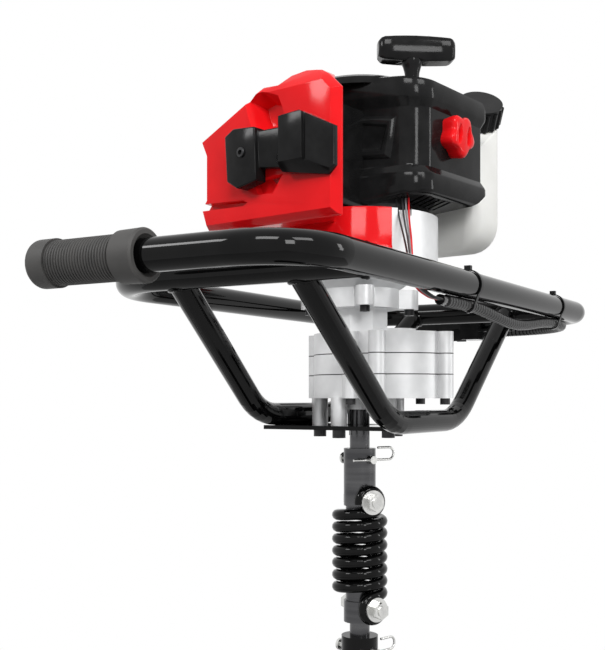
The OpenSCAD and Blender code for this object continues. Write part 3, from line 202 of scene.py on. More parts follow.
def shade_round(piece, angle=35):
    """Shades a piece smooth, up to edges sharper than the angle."""
    take(piece)
    bpy.ops.object.shade_smooth_by_angle(angle=radians(angle))

def wire_along(name, points, radius, sides=4, swell=None, ring=False):
    """A round wire along points, as a mesh; swell scales it point by point, and a ring closes on itself."""
    path = bpy.data.curves.new(name, "CURVE")
    path.dimensions = "3D"
    path.bevel_depth = radius
    path.bevel_resolution = sides
    path.use_fill_caps = not ring
    line = path.splines.new("POLY")
    line.points.add(len(points) - 1)
    line.use_cyclic_u = ring
    for k, point in enumerate(points):
        line.points[k].co = (*point, 1)
        line.points[k].radius = swell[k] if swell else 1
    made = bpy.data.objects.new(name, path)
    bpy.context.collection.objects.link(made)
    take(made)
    bpy.ops.object.convert(target="MESH")
    shade_round(made, 40)
    return made

def weld_bead(name, foot, along, run, leg_radius, tube_radius):
    """A bead round the end of a tube that meets another at foot; along and run are the two tubes' ways."""
    along, run = Vector(along).normalized(), Vector(run).normalized()
    side = along.cross(run).normalized()
    across = side.cross(along)
    bead_radius, ripple, steps = 0.0019, 0.16, 64
    spots, swell = [], []
    for step in range(steps):
        a = 2 * pi * step / steps
        rim = leg_radius * (cos(a) * side + sin(a) * across)
        flat, way = rim - rim.dot(run) * run, along - along.dot(run) * run
        inside = flat.dot(way) ** 2 - way.length_squared * (flat.length_squared - tube_radius ** 2)
        spots.append(Vector(foot) + rim + along * (sqrt(max(inside, 0)) - flat.dot(way)) / way.length_squared)
        swell.append(1 + ripple * (step % 2))
    bead = wire_along(name, spots, bead_radius, 2, swell, ring=True)
    bead.data.materials.append(black_enamel)
    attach(bead, "frame")

black_enamel = finish_of("black_enamel", (0.0015, 0.0015, 0.0016), (0.003, 0.003, 0.0031), (0.04, 0.08),
                         ior=1.25, fine=220, bump=0.03)
coat_nodes(black_enamel, "operator_bar", "loop_tube", "cradle_tube_front", "cradle_tube_rear",
           "gearbox_plate", "bit_core")
loop_x, bar_y, leg_run, tube_r, leg_r, loop_end_r = 0.240, -0.133, 0.160, 0.0126, 0.0112, 0.0124
hands = (("left", -1), ("right", 1))
for leg, weld_y, lean_y, drop in (("front", 0.046, 0.022, 0.1175), ("rear", -0.070, 0.0, 0.1245)):
    for hand, s in hands:
        weld_bead("weld_%s_%s" % (leg, hand), (s * loop_x, weld_y, 0), (-s * leg_run, lean_y, -drop),
                  (0, 1, 0), leg_r, tube_r)
for hand, s in hands:
    weld_bead("weld_loop_%s" % hand, (s * loop_x, bar_y, 0), (0, 1, 0), (1, 0, 0), loop_end_r, tube_r)

# Gearbox: three sand-cast aluminium layers under a cast neck, drawn together by black socket bolts.
# The castings are pale and grainy, and a dark gasket line shows at each joint.
def joint_lines(name, heights, half):
    """Mask is 1 within half a line's width of each height, and 0 elsewhere."""
    group = bpy.data.node_groups.new(name, "ShaderNodeTree")
    group.interface.new_socket("Mask", in_out="OUTPUT", socket_type="NodeSocketFloat")
    outof = group.nodes.new("NodeGroupOutput")
    place = group.nodes.new("ShaderNodeTexCoord")
    split = group.nodes.new("ShaderNodeSeparateXYZ")
    group.links.new(place.outputs["Object"], split.inputs[0])
    found = []
    for height in heights:
        near = group.nodes.new("ShaderNodeMath")
        near.operation = "COMPARE"
        near.inputs[1].default_value = height
        near.inputs[2].default_value = half
        group.links.new(split.outputs["Z"], near.inputs[0])
        found.append(near)
    both = group.nodes.new("ShaderNodeMath")
    both.operation = "MAXIMUM"
    group.links.new(found[0].outputs[0], both.inputs[0])
    group.links.new(found[1].outputs[0], both.inputs[1])
    group.links.new(both.outputs[0], outof.inputs["Mask"])
    return group

def cast_finish(name):
    """Sand-cast aluminium."""
    return finish_of(name, (0.6, 0.605, 0.61), (0.74, 0.745, 0.75), (0.38, 0.5), metal=0.5, scale=30,
                     fine=900, bump=0.35)

gasket_heights, gasket_half = (-0.059, -0.079), 0.0005
mix_under, mix_over, mix_out = 6, 7, 2
cast_alloy = cast_finish("cast_alloy")
cast_case = cast_finish("cast_case")
case_tree = cast_case.node_tree
gasket = case_tree.nodes.new("ShaderNodeGroup")
gasket.node_tree = joint_lines("gasket_lines", gasket_heights, gasket_half)
stain = case_tree.nodes.new("ShaderNodeMix")
stain.data_type = "RGBA"
stain.inputs[mix_over].default_value = (0.05, 0.05, 0.05, 1)
case_tree.links.new(gasket.outputs["Mask"], stain.inputs["Factor"])
case_tree.links.new(case_tree.nodes["tone"].outputs["Color"], stain.inputs[mix_under])
case_tree.links.new(stain.outputs[mix_out], case_tree.nodes["Principled BSDF"].inputs["Base Color"])
zinc = finish_of("zinc_plate", (0.55, 0.55, 0.54), (0.7, 0.7, 0.68), (0.2, 0.32), metal=1.0, scale=120,
                 fine=700)
black_oxide = finish_of("black_oxide", (0.02, 0.02, 0.021), (0.05, 0.05, 0.052), (0.28, 0.42), metal=0.7,
                        scale=80, fine=700)
coat_nodes(cast_case, "gearbox_top_cover", "gearbox_middle_case", "gearbox_bottom_cover")
coat_nodes(cast_alloy, "fan_housing", "crankcase", "piston", "carburettor", "flywheel")
coat_nodes(black_oxide, "plate_bolts", "case_bolts", "muffler")
coat_nodes(zinc, "bearings", "output_gear", "counter_shaft", "counter_gear", "clutch_drum", "crankshaft",
           "clutch_shoes", "spark_plug")

# Coupling: a turned steel sleeve on the shaft, pinned, with a bright bolt through each eye of the spring.
# The sleeve is dark from its heat treatment, and its turning marks run round it.
turned_steel = finish_of("turned_steel", (0.06, 0.06, 0.063), (0.11, 0.11, 0.113), (0.2, 0.3), metal=1.0,
                         scale=6, fine=160, bump=0.06, stretch=(1, 1, 14))
ground_steel = finish_of("ground_steel", (0.34, 0.345, 0.35), (0.5, 0.505, 0.51), (0.22, 0.38), metal=1.0,
                         scale=20, fine=300, bump=0.1)
coat_nodes(turned_steel, "output_shaft", "coupling_sleeve", "spring_stub")
coat_nodes(ground_steel, "bit_blades", "bit_point")
coat_nodes(zinc, "coupling_pin", "spring_bolt_upper", "spring_bolt_lower", "bit_pin")

# Shock spring: one steel wire wound in seven coils with an eye at each end, in gloss black.
# It follows the solid's route in finer steps.
coil_radius, wire_radius, coil_pitch, coil_turns = 0.0225, 0.0055, 0.01195, 6.975
eye_radius, eye_top = 0.011, -0.204
top_turn = radians(233)
foot_turn = top_turn - 2 * pi * coil_turns
coil_top = eye_top - eye_radius
coil_foot = coil_top - coil_turns * coil_pitch
eye_foot = coil_foot - eye_radius
eye_sweep, eye_steps, coil_steps = radians(280), 24, 336
route = []
for step in range(eye_steps, 0, -1):
    a = eye_sweep * step / eye_steps
    side = Vector((-sin(foot_turn), cos(foot_turn), 0))
    route.append(coil_radius * Vector((cos(foot_turn), sin(foot_turn), 0)) - eye_radius * sin(a) * side
                 + Vector((0, 0, eye_foot + eye_radius * cos(a))))
for step in range(coil_steps + 1):
    a = foot_turn + (top_turn - foot_turn) * step / coil_steps
    route.append(Vector((coil_radius * cos(a), coil_radius * sin(a),
                         coil_foot + (coil_top - coil_foot) * step / coil_steps)))
for step in range(1, eye_steps + 1):
    a = eye_sweep * step / eye_steps
    side = Vector((-sin(top_turn), cos(top_turn), 0))
    route.append(coil_radius * Vector((cos(top_turn), sin(top_turn), 0)) + eye_radius * sin(a) * side
                 + Vector((0, 0, eye_top - eye_radius * cos(a))))
spring = wire_along("wound_spring", route, wire_radius)
spring.data.materials.append(black_enamel)
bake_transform(spring)
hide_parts("shock_spring")

# Bit: a right-handed screw plate welded round a tube, with two hard steel blades and a point below it.
# The plate is one even helix with eased edges, and half a turn of a second start stands beside its foot.
def skin_over(name, rings):
    """A closed skin over a row of rings, each a list of points in mm."""
    count = len(rings[0])
    last = (len(rings) - 1) * count
    sides = [(r * count + k, r * count + (k + 1) % count, (r + 1) * count + (k + 1) % count,
              (r + 1) * count + k) for r in range(len(rings) - 1) for k in range(count)]
    ends = [tuple(range(count))[::-1], tuple(range(last, last + count))]
    mesh = bpy.data.meshes.new(name)
    mesh.from_pydata([Vector(p) / 1000 for ring in rings for p in ring], [], sides + ends)
    piece = bpy.data.objects.new(name, mesh)
    bpy.context.collection.objects.link(piece)
    take(piece)
    bpy.ops.object.mode_set(mode="EDIT")
    bpy.ops.mesh.select_all(action="SELECT")
    bpy.ops.mesh.normals_make_consistent(inside=False)
    bpy.ops.object.mode_set(mode="OBJECT")
    return piece

flight_pitch, flight_length = 108, 560
flight_section = ((17.3, 0), (74, 0), (75, 1), (75, 4), (74, 5), (17.3, 5))

def screw_plate(name, turns, start):
    """A plate wound round the bit's core from its foot, in black enamel."""
    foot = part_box("bit_flight_lower")[0][2] * 1000
    steps = round(90 * turns)
    rings = []
    for step in range(steps + 1):
        a, z = start + 2 * pi * turns * step / steps, foot + flight_pitch * turns * step / steps
        rings.append([(r * cos(a), r * sin(a), z + h) for r, h in flight_section])
    plate = skin_over(name, rings)
    shade_round(plate)
    plate.data.materials.append(black_enamel)
    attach(plate, "bit")
    return plate

flight = screw_plate("flight_plate", flight_length / flight_pitch, 0)
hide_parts("bit_flight_lower", "bit_flight_upper")
screw_plate("second_start", 0.5, pi)

# Engine shroud: an injection moulding in gloss red round the cylinder, with drafted facets and a deep recess.
# It is drawn back from its front outline, cut facet by facet, rounded, hollowed, and cleared for the piston.
# The engine's pieces are made square to its own axes, in mm, and then turned about the crank to their place.
engine_turn = Matrix.Rotation(radians(-9), 4, "Z")
bore_z, piston_room_r = 118, 23.5

def slab(name, outline, front, back, taper=1.0, centre=(0, 0)):
    """An outline of (y, z) drawn from front to back along x; taper scales its far end about a centre."""
    far = [(centre[0] + (y - centre[0]) * taper, centre[1] + (z - centre[1]) * taper) for y, z in outline]
    return skin_over(name, [[(front, y, z) for y, z in outline], [(back, y, z) for y, z in far]])

def post(name, plan, low, high):
    """A plan of (x, y) drawn up from low to high."""
    return skin_over(name, [[(x, y, low) for x, y in plan], [(x, y, high) for x, y in plan]])

def around(count):
    """Cosine and sine of equal steps round a circle."""
    return [(cos(2 * pi * k / count), sin(2 * pi * k / count)) for k in range(count)]

def disc(radius):
    """A round plan about the crank."""
    return [(radius * c, radius * s) for c, s in around(64)]

def cut_away(piece, cutter, how="DIFFERENCE"):
    """Cuts a piece by another, or joins both, and takes the other away."""
    take(piece)
    cut = piece.modifiers.new("cut", "BOOLEAN")
    cut.operation = how
    cut.object = cutter
    cut.solver = "EXACT"
    bpy.ops.object.modifier_apply(modifier="cut")
    bpy.data.objects.remove(cutter)

def trim(piece, *planes):
    """Takes away what lies beyond planes of (point in mm, outward normal), and closes the cuts."""
    take(piece)
    bpy.ops.object.mode_set(mode="EDIT")
    for point, normal in planes:
        bpy.ops.mesh.select_all(action="SELECT")
        bpy.ops.mesh.bisect(plane_co=[v / 1000 for v in point], plane_no=normal, use_fill=True,
                            clear_outer=True)
    bpy.ops.mesh.select_all(action="SELECT")
    bpy.ops.mesh.remove_doubles(threshold=0.0002)
    bpy.ops.mesh.dissolve_limited(angle_limit=radians(1))
    bpy.ops.mesh.normals_make_consistent(inside=False)
    bpy.ops.object.mode_set(mode="OBJECT")

def soften(piece, width, steps=3, angle=22):
    """Rounds a piece's edges and shades it smooth."""
    take(piece)
    rounding = piece.modifiers.new("rounding", "BEVEL")
    rounding.width = width
    rounding.segments = steps
    rounding.limit_method = "ANGLE"
    rounding.angle_limit = radians(angle)
    bpy.ops.object.modifier_apply(modifier="rounding")
    shade_round(piece)

def fit_to_engine(piece, material, body, slot, *nodes):
    """Turns a piece made in the engine's frame to its place, and puts it on its body."""
    piece.data.transform(engine_turn)
    piece.data.materials.append(material)
    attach(piece, body)
    if nodes:
        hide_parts(*nodes)

def bore_room(low, high):
    """A round room about the cylinder's axis, wide enough for the piston to pass."""
    return skin_over("bore_room", [[(x, piston_room_r * c, bore_z + piston_room_r * s) for c, s in around(48)]
                                   for x in (low, high)])

red_gloss = finish_of("red_gloss", (0.70, 0.006, 0.009), (0.78, 0.009, 0.012), (0.07, 0.13), ior=1.22,
                      scale=20, fine=900, bump=0.03)
front_x, back_x = -112, -4
outline = [(109, 62), (116, 82), (109, 90), (109, 137), (116, 152), (105, 157), (54, 181), (34, 193),
           (15, 192), (3, 198), (-13, 200), (-33, 196), (-41, 191), (-55, 177), (-55, 62)]
middle = (28, 128)

def drawn_in(share):
    """The shroud's outline, drawn in about its middle."""
    return [(middle[0] + (y - middle[0]) * share, middle[1] + (z - middle[1]) * share) for y, z in outline]

shroud = skin_over("red_shroud", [[(x, y, z) for y, z in drawn_in(share)]
                                  for x, share in ((front_x, 0.94), (front_x + 10, 1.0), (back_x, 1.0))])
trim(shroud, ((front_x, 80, 168), (-0.55, 0.36, 0.75)), ((front_x, 0, 184), (-0.8, 0, 0.6)),
     ((front_x, -40, 184), (-0.5, -0.6, 0.62)), ((front_x, 30, 68), (-0.6, 0, -0.8)))
cut_away(shroud, slab("recess", [(56, 184), (35, 190), (10, 180), (-1, 154), (8, 146), (44, 150), (50, 162)],
                      front_x - 4, front_x + 20, 0.5, (26, 166)))
cut_away(shroud, slab("step", [(44, 104), (38, 90), (18, 88), (4, 106)], front_x - 4, front_x + 6, 0.8,
                      (24, 98)))
cut_away(shroud, slab("slot", [(122, 90), (122, 83), (56, 81.5), (50, 84), (56, 87)], front_x - 4,
                      front_x + 12))
soften(shroud, 0.0028, 3)
hollow = skin_over("hollow", [[(x, y, z) for y, z in drawn_in(0.955)] for x in (front_x + 24, back_x + 10)])
cut_away(shroud, hollow)
cut_away(shroud, bore_room(-99.5, -80))
cut_away(shroud, post("filter_side", [(-100, -70), (-100, -46), (-49, -5), (4, -5), (4, -70)], 0, 300))
cut_away(shroud, post("fan_room", disc(78.3), 30, 78))
cut_away(shroud, post("recoil_room", disc(62.3), 159, 260))
shade_round(shroud)
fit_to_engine(shroud, red_gloss, "frame", "red_plastic", "engine_shroud")

# Shroud skirt: the shroud's lower rim, wrapped round the fan housing.
# It is spun from the section of its wall, with a lip along its foot.
section = [(78.6, 36), (81.1, 36), (82.1, 38), (81.1, 41), (81.1, 75), (80.4, 76), (78.6, 76)]
skirt_start, skirt_stop, skirt_step = 100, 239, 3
skirt = skin_over("shroud_skirt", [[(r * cos(radians(a)), r * sin(radians(a)), z) for r, z in section]
                                   for a in range(skirt_start, skirt_stop, skirt_step)])
shade_round(skirt)
fit_to_engine(skirt, red_gloss, "frame", "red_plastic")

# Plug cover: a black moulding over the spark plug, with a flat wing held to the shroud by one socket screw.
# A narrower neck joins the wing to the deep block over the plug.
black_moulded = finish_of("black_moulded", (0.007, 0.007, 0.0072), (0.012, 0.012, 0.0123), (0.08, 0.14),
                          ior=1.2, scale=60, fine=1400, bump=0.1)
plug_back = -111.6
wing = slab("plug_wing", [(66, 146), (55, 152), (28, 150), (26, 100), (50, 95), (63, 103)], -127, plug_back)
neck = slab("plug_neck", [(40, 147), (-8, 146), (-8, 108), (28, 112), (40, 104)], -122, plug_back)
cut_away(wing, neck, "UNION")
soften(wing, 0.0022)
fit_to_engine(wing, black_moulded, "frame", "black_plastic", "plug_cover")
block = slab("plug_block", [(-3, 152), (-28, 155), (-58, 139), (-58, 104), (-50, 97), (-3, 104)], -132,
             plug_back)
trim(block, ((-133, -31, 120), (-0.865, -0.50, 0)), ((-133, -30, 112), (-0.62, 0, -0.78)),
     ((-133, -30, 152), (-0.6, 0, 0.8)), ((-133, -7, 120), (-0.7, 0.71, 0)))
cut_away(block, slab("plug_groove", [(-33, 160), (-36, 160), (-36, 90), (-33, 90)], -140, -129))
soften(block, 0.0018)
fit_to_engine(block, black_moulded, "frame", "black_plastic")
screw_y, screw_z = 44, 128
screw_section = ((-126, 4.6), (-128.6, 4.6), (-129, 4.2), (-129, 2.4), (-126.6, 2.2))
screw = skin_over("plug_screw", [[(x, screw_y + r * c, screw_z + r * s) for c, s in around(24)]
                                 for x, r in screw_section])
shade_round(screw)
fit_to_engine(screw, black_oxide, "frame", "black_plastic")

# Cylinder: a cast aluminium barrel with eight thin cooling fins and an exhaust port, lying behind the shroud.
# It is joined into one casting. A black wall at the shroud's side is painted shade: it fills the gap between
# the shroud and the filter with black, where only shadow shows.
barrel_r, barrel_front, barrel_back = 27, -106, -50.2
fin_count, fin_pitch, fin_front, fin_back = 8, 6, -59.2, -56.8
barrel = skin_over("finned_cylinder", [[(x, barrel_r * c, bore_z + barrel_r * s) for c, s in around(48)]
                                       for x in (barrel_front, barrel_back)])
fin_shape = [(-24, 84), (35, 84), (39, 88), (39, 148), (35, 152), (-24, 152), (-28, 148), (-28, 88)]
for k in range(fin_count):
    fin = slab("fin", fin_shape, fin_front - fin_pitch * k, fin_back - fin_pitch * k)
    cut_away(barrel, fin, "UNION")
cut_away(barrel, slab("exhaust_port", [(20, 102), (44, 102), (44, 134), (20, 134)], -82, -58), "UNION")
shade_round(barrel)
fit_to_engine(barrel, cast_alloy, "frame", "cast_alloy", "cylinder")
# Painted shade: a black wall standing in the gap beside the fins, darkening it as shadow would.
shade_wall = post("shade_wall", [(-101, -50), (-100, -52), (-72, -33), (-34, -32.6), (-34, -31.3), (-73, -31.4)],
                79, 172)
soften(shade_wall, 0.0006, 2)
fit_to_engine(shade_wall, black_moulded, "frame", "black_plastic")

# Air filter: a black moulded box over the carburettor, closed by a red lobed knob on a stud.
# A wide band runs round its foot and its head, with a raised pad between them on its left wall.
# Its far lower end slopes up behind the louvres.
def round_corner(x, y, r, start):
    """Points round a quarter of a circle."""
    return [(x + r * cos(radians(start + 9 * k)), y + r * sin(radians(start + 9 * k))) for k in range(11)]

filter_left, filter_right, filter_front, filter_back = -49, 94, -95, -10
filter_wide, filter_deep = filter_right - filter_left, filter_back - filter_front
filter_draw, pad_draw, near_round, far_round = 16, 15, 26, 14
head_from, head_tall, head_rise, head_lean = 120, 76, 7, 2
foot_from, foot_tall, foot_lift, foot_drop = 112, 28, 6, 11
louvre_count, louvre_pitch = 6, 9

def filter_plan(inset):
    """Plan of the filter box, with rounded front corners and a left wall drawn in towards the front."""
    low, high, front = filter_left + inset, filter_right - inset, filter_front + min(inset, 4.8)
    near, far = near_round - 0.5 * inset, far_round - inset
    spots = ([(low, filter_back)] + round_corner(low + near, front + near, near, 180)
             + round_corner(high - far, front + far, far, 270) + [(high, filter_back)])
    return [(x + filter_draw * (filter_right - x) / filter_wide * (filter_back - y) / filter_deep, y)
            for x, y in spots]

def filter_ring(z, inset):
    """One level of the filter box: its head rises and its foot drops towards the engine."""
    head, foot = max(z - head_from, 0) / head_tall, max(foot_from - z, 0) / foot_tall
    ring = []
    for x, y in filter_plan(inset):
        inward = y - filter_front
        raised = head_rise * inward / filter_deep + head_lean * (filter_right - x) / filter_wide
        lifted = foot_lift - foot_drop * inward / filter_deep
        ring.append((x, y, z + head * raised + foot * lifted))
    return ring

filter_levels = ((84, 5), (86, 1.2), (88.5, 0), (107, 0), (109.5, 0.9), (116, 7), (118, 7.6), (145, 8),
                 (168, 7.6), (170, 7), (176.5, 0.9), (179, 0), (191, 0), (194.5, 1.2), (196, 5))
filter_box = skin_over("filter_box", [filter_ring(z, inset) for z, inset in filter_levels])
trim(filter_box, ((filter_right - 36, 0, 84), (0.555, 0, -0.832)), ((filter_right, 0, 176), (0.8, 0, 0.6)))
for k in range(louvre_count):
    spots = [(x + louvre_pitch * k, y) for x, y in ((-16, -86), (-12, -86), (-2, -60), (-6, -60))]
    cut_away(filter_box, post("louvre", spots, 76, 93))
cut_away(filter_box, post("carburettor_room", [(-30, -30), (30, -30), (30, 0), (-30, 0)], 80, 190))
wall_span = (-60, -25)
cut_away(filter_box, bore_room(*wall_span))
shade_round(filter_box, 30)
fit_to_engine(filter_box, black_moulded, "frame", "black_plastic", "filter_cover")

def pad_ring(x, e):
    """One level of the pad, drawn in by e and set along the filter's wall."""
    face = ((-14 - e, 170 - e), (-66 + e, 163 - e), (-60 + e, 124 + e), (-14 - e, 127 + e))
    return [(x + pad_draw * (filter_back - y) / filter_deep, y, z) for y, z in face]

pad_levels = ((-39, -2), (-44.5, 3), (-45, 4), (-45, 7.5), (-42.8, 9.5))
pad = skin_over("filter_pad", [pad_ring(x, e) for x, e in pad_levels])
soften(pad, 0.0008, 2)
cut_away(pad, bore_room(*wall_span))
shade_round(pad)
fit_to_engine(pad, black_moulded, "frame", "black_plastic")
knob_x, knob_z, lobe_count, lobe_depth, lobe_start = 26, 150, 5, 0.12, 1.2

def knob_ring(y, r):
    """One level of the knob, with its lobes."""
    turns = [2 * pi * k / 80 for k in range(80)]
    lobes = [r * (1 + lobe_depth * cos(lobe_count * a + lobe_start)) for a in turns]
    return [(knob_x + lobe * cos(a), y, knob_z + lobe * sin(a)) for a, lobe in zip(turns, lobes)]

knob_levels = ((-88, 17.5), (-96, 18.4), (-101, 19), (-103.5, 18.6), (-105.2, 17), (-105.8, 14.5), (-106, 3))
knob = skin_over("lobed_knob", [knob_ring(y, r) for y, r in knob_levels])
for side in (-1, 1):
    pocket = [[(knob_x + side * (8 + 3.8 * w * c) + 1.6 * w * s, y, knob_z + 10 * w * s)
               for c, s in around(24)] for y, w in ((-108, 1.15), (-102, 0.8), (-101, 0.5))]
    cut_away(knob, skin_over("knob_pocket", pocket))
soften(knob, 0.0006, 2, 40)
fit_to_engine(knob, red_gloss, "knob", "red_plastic", "filter_knob")

# Filter inside: a grey base plate with an air hole and the knob's stud, and a foam block on its front.
# Both are cut square, with eased edges, and stay behind the cover's walls.
grey_plastic = finish_of("grey_plastic", (0.16, 0.16, 0.165), (0.22, 0.22, 0.225), (0.45, 0.55), scale=60,
                         fine=1200, bump=0.1)
foam = finish_of("filter_foam", (0.05, 0.05, 0.05), (0.09, 0.09, 0.09), (0.85, 0.95), scale=300, fine=1500,
                 bump=0.6)

def stud_rod(radius, low, high, x=knob_x, z=knob_z):
    """A round rod along y, at the stud's place unless told."""
    return skin_over("stud_rod", [[(x + radius * c, y, z + radius * s) for c, s in around(24)]
                                  for y in (low, high)])

plate = slab("filter_plate", [(-82.8, 98), (-79.8, 98), (-79.8, 188), (-82.8, 188)], -14, 68)
cut_away(plate, stud_rod(8, -90, -70, 0, 114))
cut_away(plate, stud_rod(3, -103, -80), "UNION")
soften(plate, 0.0004, 2)
fit_to_engine(plate, grey_plastic, "frame", "grey_plastic", "filter_base")
block = slab("foam_block", [(-88, 112), (-83.2, 112), (-83.2, 182), (-88, 182)], -8, 68)
cut_away(block, stud_rod(5, -95, -75))
soften(block, 0.0004, 2)
fit_to_engine(block, foam, "frame", "foam", "filter_element")

# Fuel tank: blow-moulded white polyethylene, slightly see-through, with a ribbed black screw cap.
# Its lower edges are full and round, and its shoulder is square to the cap.
tank_left, tank_right, tank_front, tank_back = 97, 155, -76, 29
tank_foot, tank_top, foot_round, foot_in_x, foot_in_y = 53, 186, 30, 16, 30

def tank_plan(inset_x, inset_y):
    """Plan of the tank with rounded upright edges."""
    low_x, high_x = tank_left + inset_x, tank_right - inset_x
    low_y, high_y = tank_front + inset_y, tank_back - inset_y
    r = max(15 - inset_x, 5)
    return (round_corner(low_x + r, low_y + r, r, 180) + round_corner(high_x - r, low_y + r, r, 270)
            + round_corner(high_x - r, high_y - r, r, 0) + round_corner(low_x + r, high_y - r, r, 90))

tank_rings = []
for step in range(9):
    a = radians(90 * step / 8)
    tank_rings.append((tank_foot + foot_round * (1 - cos(a)), foot_in_x * (1 - sin(a)),
                       foot_in_y * (1 - sin(a))))
tank_rings.append((tank_top, 0, 0))
cap_seat, cap_way = Vector((141, -51, 188)), Vector((-0.4967, -0.5, 0.7094))
shoulder = cap_seat + 8 * cap_way
tank = skin_over("white_tank", [[(x, y, z) for x, y in tank_plan(ix, iy)] for z, ix, iy in tank_rings])
trim(tank, (shoulder, cap_way))
soften(tank, 0.006, 5, 32)
tank_white = finish_of("tank_white", (0.74, 0.74, 0.71), (0.81, 0.81, 0.785), (0.32, 0.45), scale=18,
                       fine=700, bump=0.06)
tank_body = tank_white.node_tree.nodes["Principled BSDF"]
tank_body.inputs["Subsurface Weight"].default_value = 0.25
tank_body.inputs["Subsurface Radius"].default_value = (0.02, 0.02, 0.018)
fit_to_engine(tank, tank_white, "frame", "tank_plastic", "fuel_tank")
coat_nodes(black_moulded, "fuel_cap")

# Starter: a grooved black housing over the reel, and a moulded T handle on a braided cord.
# The handle is a bowed bar on a flared neck, with three pockets in its top to save weight.
coat_nodes(black_moulded, "starter_reel")
pull_x, pull_y, diagonal = 19, -50, 0.7071
pull_half, pull_low, pull_high, pull_reach, pull_end = 11, 228.5, 254, 40, 6
handle_face = [(-0.72, 0), (0.72, 0), (0.9, 0.12), (1, 0.42), (1, 0.78), (0.86, 0.95), (0.6, 1), (-0.6, 1),
               (-0.86, 0.95), (-1, 0.78), (-1, 0.42), (-0.9, 0.12)]

def handle_ring(t):
    """One section across the handle's bar, t mm from its middle."""
    bow = (t / pull_reach) ** 2
    end = max(0.0, (abs(t) - pull_reach + pull_end) / pull_end)
    half = pull_half - 4.5 * end ** 2
    low, high = pull_low + 1.6 * bow + 3 * end ** 2, pull_high - 2 * bow - 3.5 * end ** 2
    across, onward = Vector((diagonal, diagonal, 0)), Vector((diagonal, -diagonal, 0))
    core = Vector((pull_x, pull_y, 0)) + onward * (0.95 * t + 4)
    return [core + across * half * w + Vector((0, 0, low + (high - low) * h)) for w, h in handle_face]

recoil_levels = ((160, 61.6), (161, 62), (176, 62), (177, 60.6), (180, 60.6), (181, 62), (196, 62), (203, 60),
                 (206, 55), (207, 48), (207, 14))
recoil = skin_over("recoil_lid", [[(r * c, r * s, z) for c, s in around(72)] for z, r in recoil_levels])
cut_away(recoil, post("filter_side", [(-70, -96), (96, -96), (96, -9.7), (-48, -9.7), (-70, -4)], 100, 196.2))
shade_round(recoil)
fit_to_engine(recoil, black_moulded, "frame", "black_plastic", "recoil_housing")
pull_stations = (-40, -39, -37, -34, -24, -12, 0, 12, 24, 34, 37, 39, 40)
pull = skin_over("pull_handle", [handle_ring(t) for t in pull_stations])
neck_levels = ((209, 5.4), (210, 6.4), (219, 7.4), (225, 9), (228, 10.6), (231, 10.6))
neck = skin_over("pull_neck", [[(pull_x + r * c, pull_y + r * s, z) for c, s in around(32)]
                               for z, r in neck_levels])
cut_away(pull, neck, "UNION")
for start, stop in ((-30, -20), (4, 14), (18, 30)):
    spots = [(pull_x + diagonal * t - diagonal * w, pull_y - diagonal * t - diagonal * w)
             for t, w in ((start, 2), (stop, 2), (stop, 8), (start, 8))]
    cut_away(pull, post("pocket", spots, 249.5, 260))
soften(pull, 0.0012, 2, 35)
fit_to_engine(pull, black_moulded, "pull", "black_plastic", "starter_handle")
rope_line = [engine_turn @ (Vector((pull_x, pull_y, z)) / 1000) for z in range(193, 224, 5)]
rope = wire_along("pull_rope", rope_line, 0.002, 2)
rope_white = finish_of("rope_white", (0.5, 0.49, 0.46), (0.7, 0.69, 0.66), (0.8, 0.9), scale=400, fine=1500,
                       bump=0.5)
rope.data.materials.append(rope_white)
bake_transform(rope)
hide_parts("starter_rope")

# Handles: a ringed rubber grip on the left bar, a moulded throttle handle on the right bar.
# The trigger hangs under the throttle handle, and the lock button and stop switch stand on its box.
grip_rubber = finish_of("grip_rubber", (0.035, 0.034, 0.033), (0.055, 0.053, 0.051), (0.55, 0.7), scale=50,
                        fine=1200, bump=0.25)
coat_nodes(grip_rubber, "hand_grip", "output_seal")
coat_nodes(black_moulded, "throttle_handle", "throttle_trigger", "throttle_lock", "loom_ferrule", "loom_ties")
coat_nodes(red_gloss, "stop_switch")

# Loom: a ribbed conduit from the throttle, round the corner and under the operator's bar, held by two ties.
# It sags between the ties and stops past the second one, where its wires come out.
# Every second groove is deeper.
loom_y, loom_z, loom_lead, loom_bend, loom_turn_x, loom_past = -3, -18.3, 14, 116, 227, 110
loom_turn_y = loom_y - loom_lead
loom_corner = loom_lead + loom_bend * pi / 2
sag, sag_from, sag_span = 9, -45, 256

def loom_spot(s):
    """The loom's middle, s mm along it from the throttle."""
    if s < loom_lead:
        return Vector((loom_turn_x + loom_bend, loom_y - s, loom_z)) / 1000
    if s < loom_corner:
        a = -(s - loom_lead) / loom_bend
        return Vector((loom_turn_x + loom_bend * cos(a), loom_turn_y + loom_bend * sin(a), loom_z)) / 1000
    x = loom_turn_x - (s - loom_corner)
    share = (x - sag_from) / sag_span
    drop = sag * sin(pi * share) ** 2 if 0 < share < 1 else 0
    return Vector((x, loom_turn_y - loom_bend, loom_z - drop)) / 1000

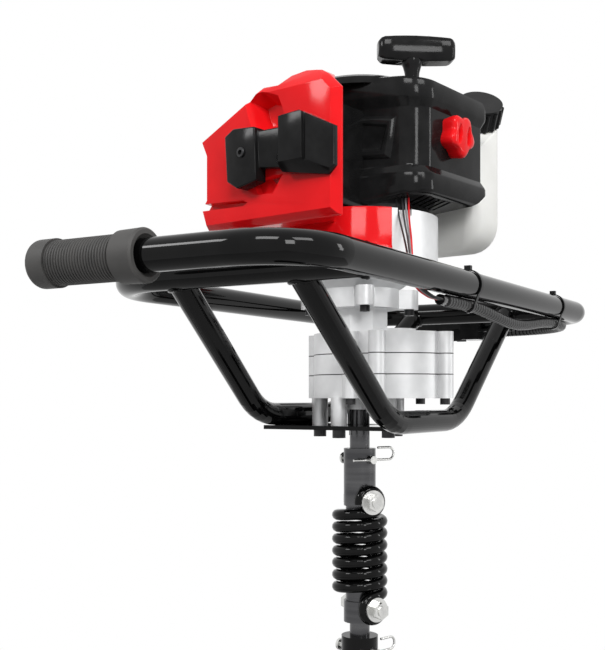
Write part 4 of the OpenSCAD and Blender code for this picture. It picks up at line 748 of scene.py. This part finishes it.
loom_length = loom_corner + loom_turn_x + loom_past
loom_radius, cuff, rib_start, rib_pitch, rib_count = 0.0055, 0.87, 11, 3, 170
stations, swell = [0, 10], [cuff, cuff]
grooves = (0.66, 0.95)
for rib in range(rib_count):
    for along, size in ((0.1, grooves[rib % 2]), (0.3, 0.97), (0.5, 1.0), (0.7, 0.97),
                        (0.9, grooves[(rib + 1) % 2])):
        stations.append(rib_start + rib_pitch * (rib + along))
        swell.append(size)
stations += [loom_length - 10, loom_length]
swell += [cuff, cuff]
loom = wire_along("ribbed_loom", [loom_spot(s) for s in stations], loom_radius, 4, swell)
loom_black = finish_of("loom_black", (0.004, 0.004, 0.0042), (0.009, 0.009, 0.0093), (0.1, 0.16), ior=1.4,
                       scale=80, fine=400, bump=0.01)
loom.data.materials.append(loom_black)
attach(loom, "frame")
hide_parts("throttle_loom")

# Control wires: the stop switch's leads and the throttle's inner cable, each in its own sheath.
# They leave the loom's end, turn up behind the bar and go into the engine beside the carburettor.
wire_route = [(-108, -133, -18.2), (-114, -133, -18), (-122, -129, -16), (-124, -120, -8), (-112, -109, 6),
              (-90, -97, 24), (-66, -84, 44), (-46, -72, 64), (-36, -66, 80), (-33, -64, 92)]

def smooth_route(spots, steps=8):
    """A smooth line through spots, with steps points between each two."""
    spots = [Vector(p) / 1000 for p in spots]
    line = []
    for k in range(len(spots) - 1):
        a, b, c, d = spots[max(k - 1, 0)], spots[k], spots[k + 1], spots[min(k + 2, len(spots) - 1)]
        for step in range(steps):
            t = step / steps
            line.append(0.5 * (2 * b + (c - a) * t + (2 * a - 5 * b + 4 * c - d) * t * t
                               + (3 * b - a - 3 * c + d) * t ** 3))
    return line + [spots[-1]]

lead_radius, fan_way, fan_foot, fan_height = 0.0009, (0.51, -0.86), -8, 100
leads = (("black", (0.012, 0.012, 0.012), -2.6, -8), ("slate", (0.03, 0.03, 0.032), -0.9, -2),
         ("grey", (0.2, 0.2, 0.205), 0.9, 1.5), ("red", (0.6, 0.012, 0.015), 2.6, 4.5))

def fanned(spot, start, end):
    """A spot of the route, moved aside: by start under the bar, and towards end as it rises."""
    x, y, z = spot
    shift = end * max(z - fan_foot, 0) / fan_height
    return (x + fan_way[0] * shift, y + (start if z < 0 else 0) + fan_way[1] * shift, z)

for colour, paint, start, end in leads:
    line = smooth_route([fanned(spot, start, end) for spot in wire_route])
    lead = wire_along("lead_%s" % colour, line, lead_radius, 2)
    pale = tuple(1.3 * v for v in paint)
    lead.data.materials.append(finish_of("sheath_%s" % colour, paint, pale, (0.3, 0.4), scale=90, fine=900,
                                         bump=0.05))
    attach(lead, "frame")
    if colour == "black":
        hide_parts("control_wires")
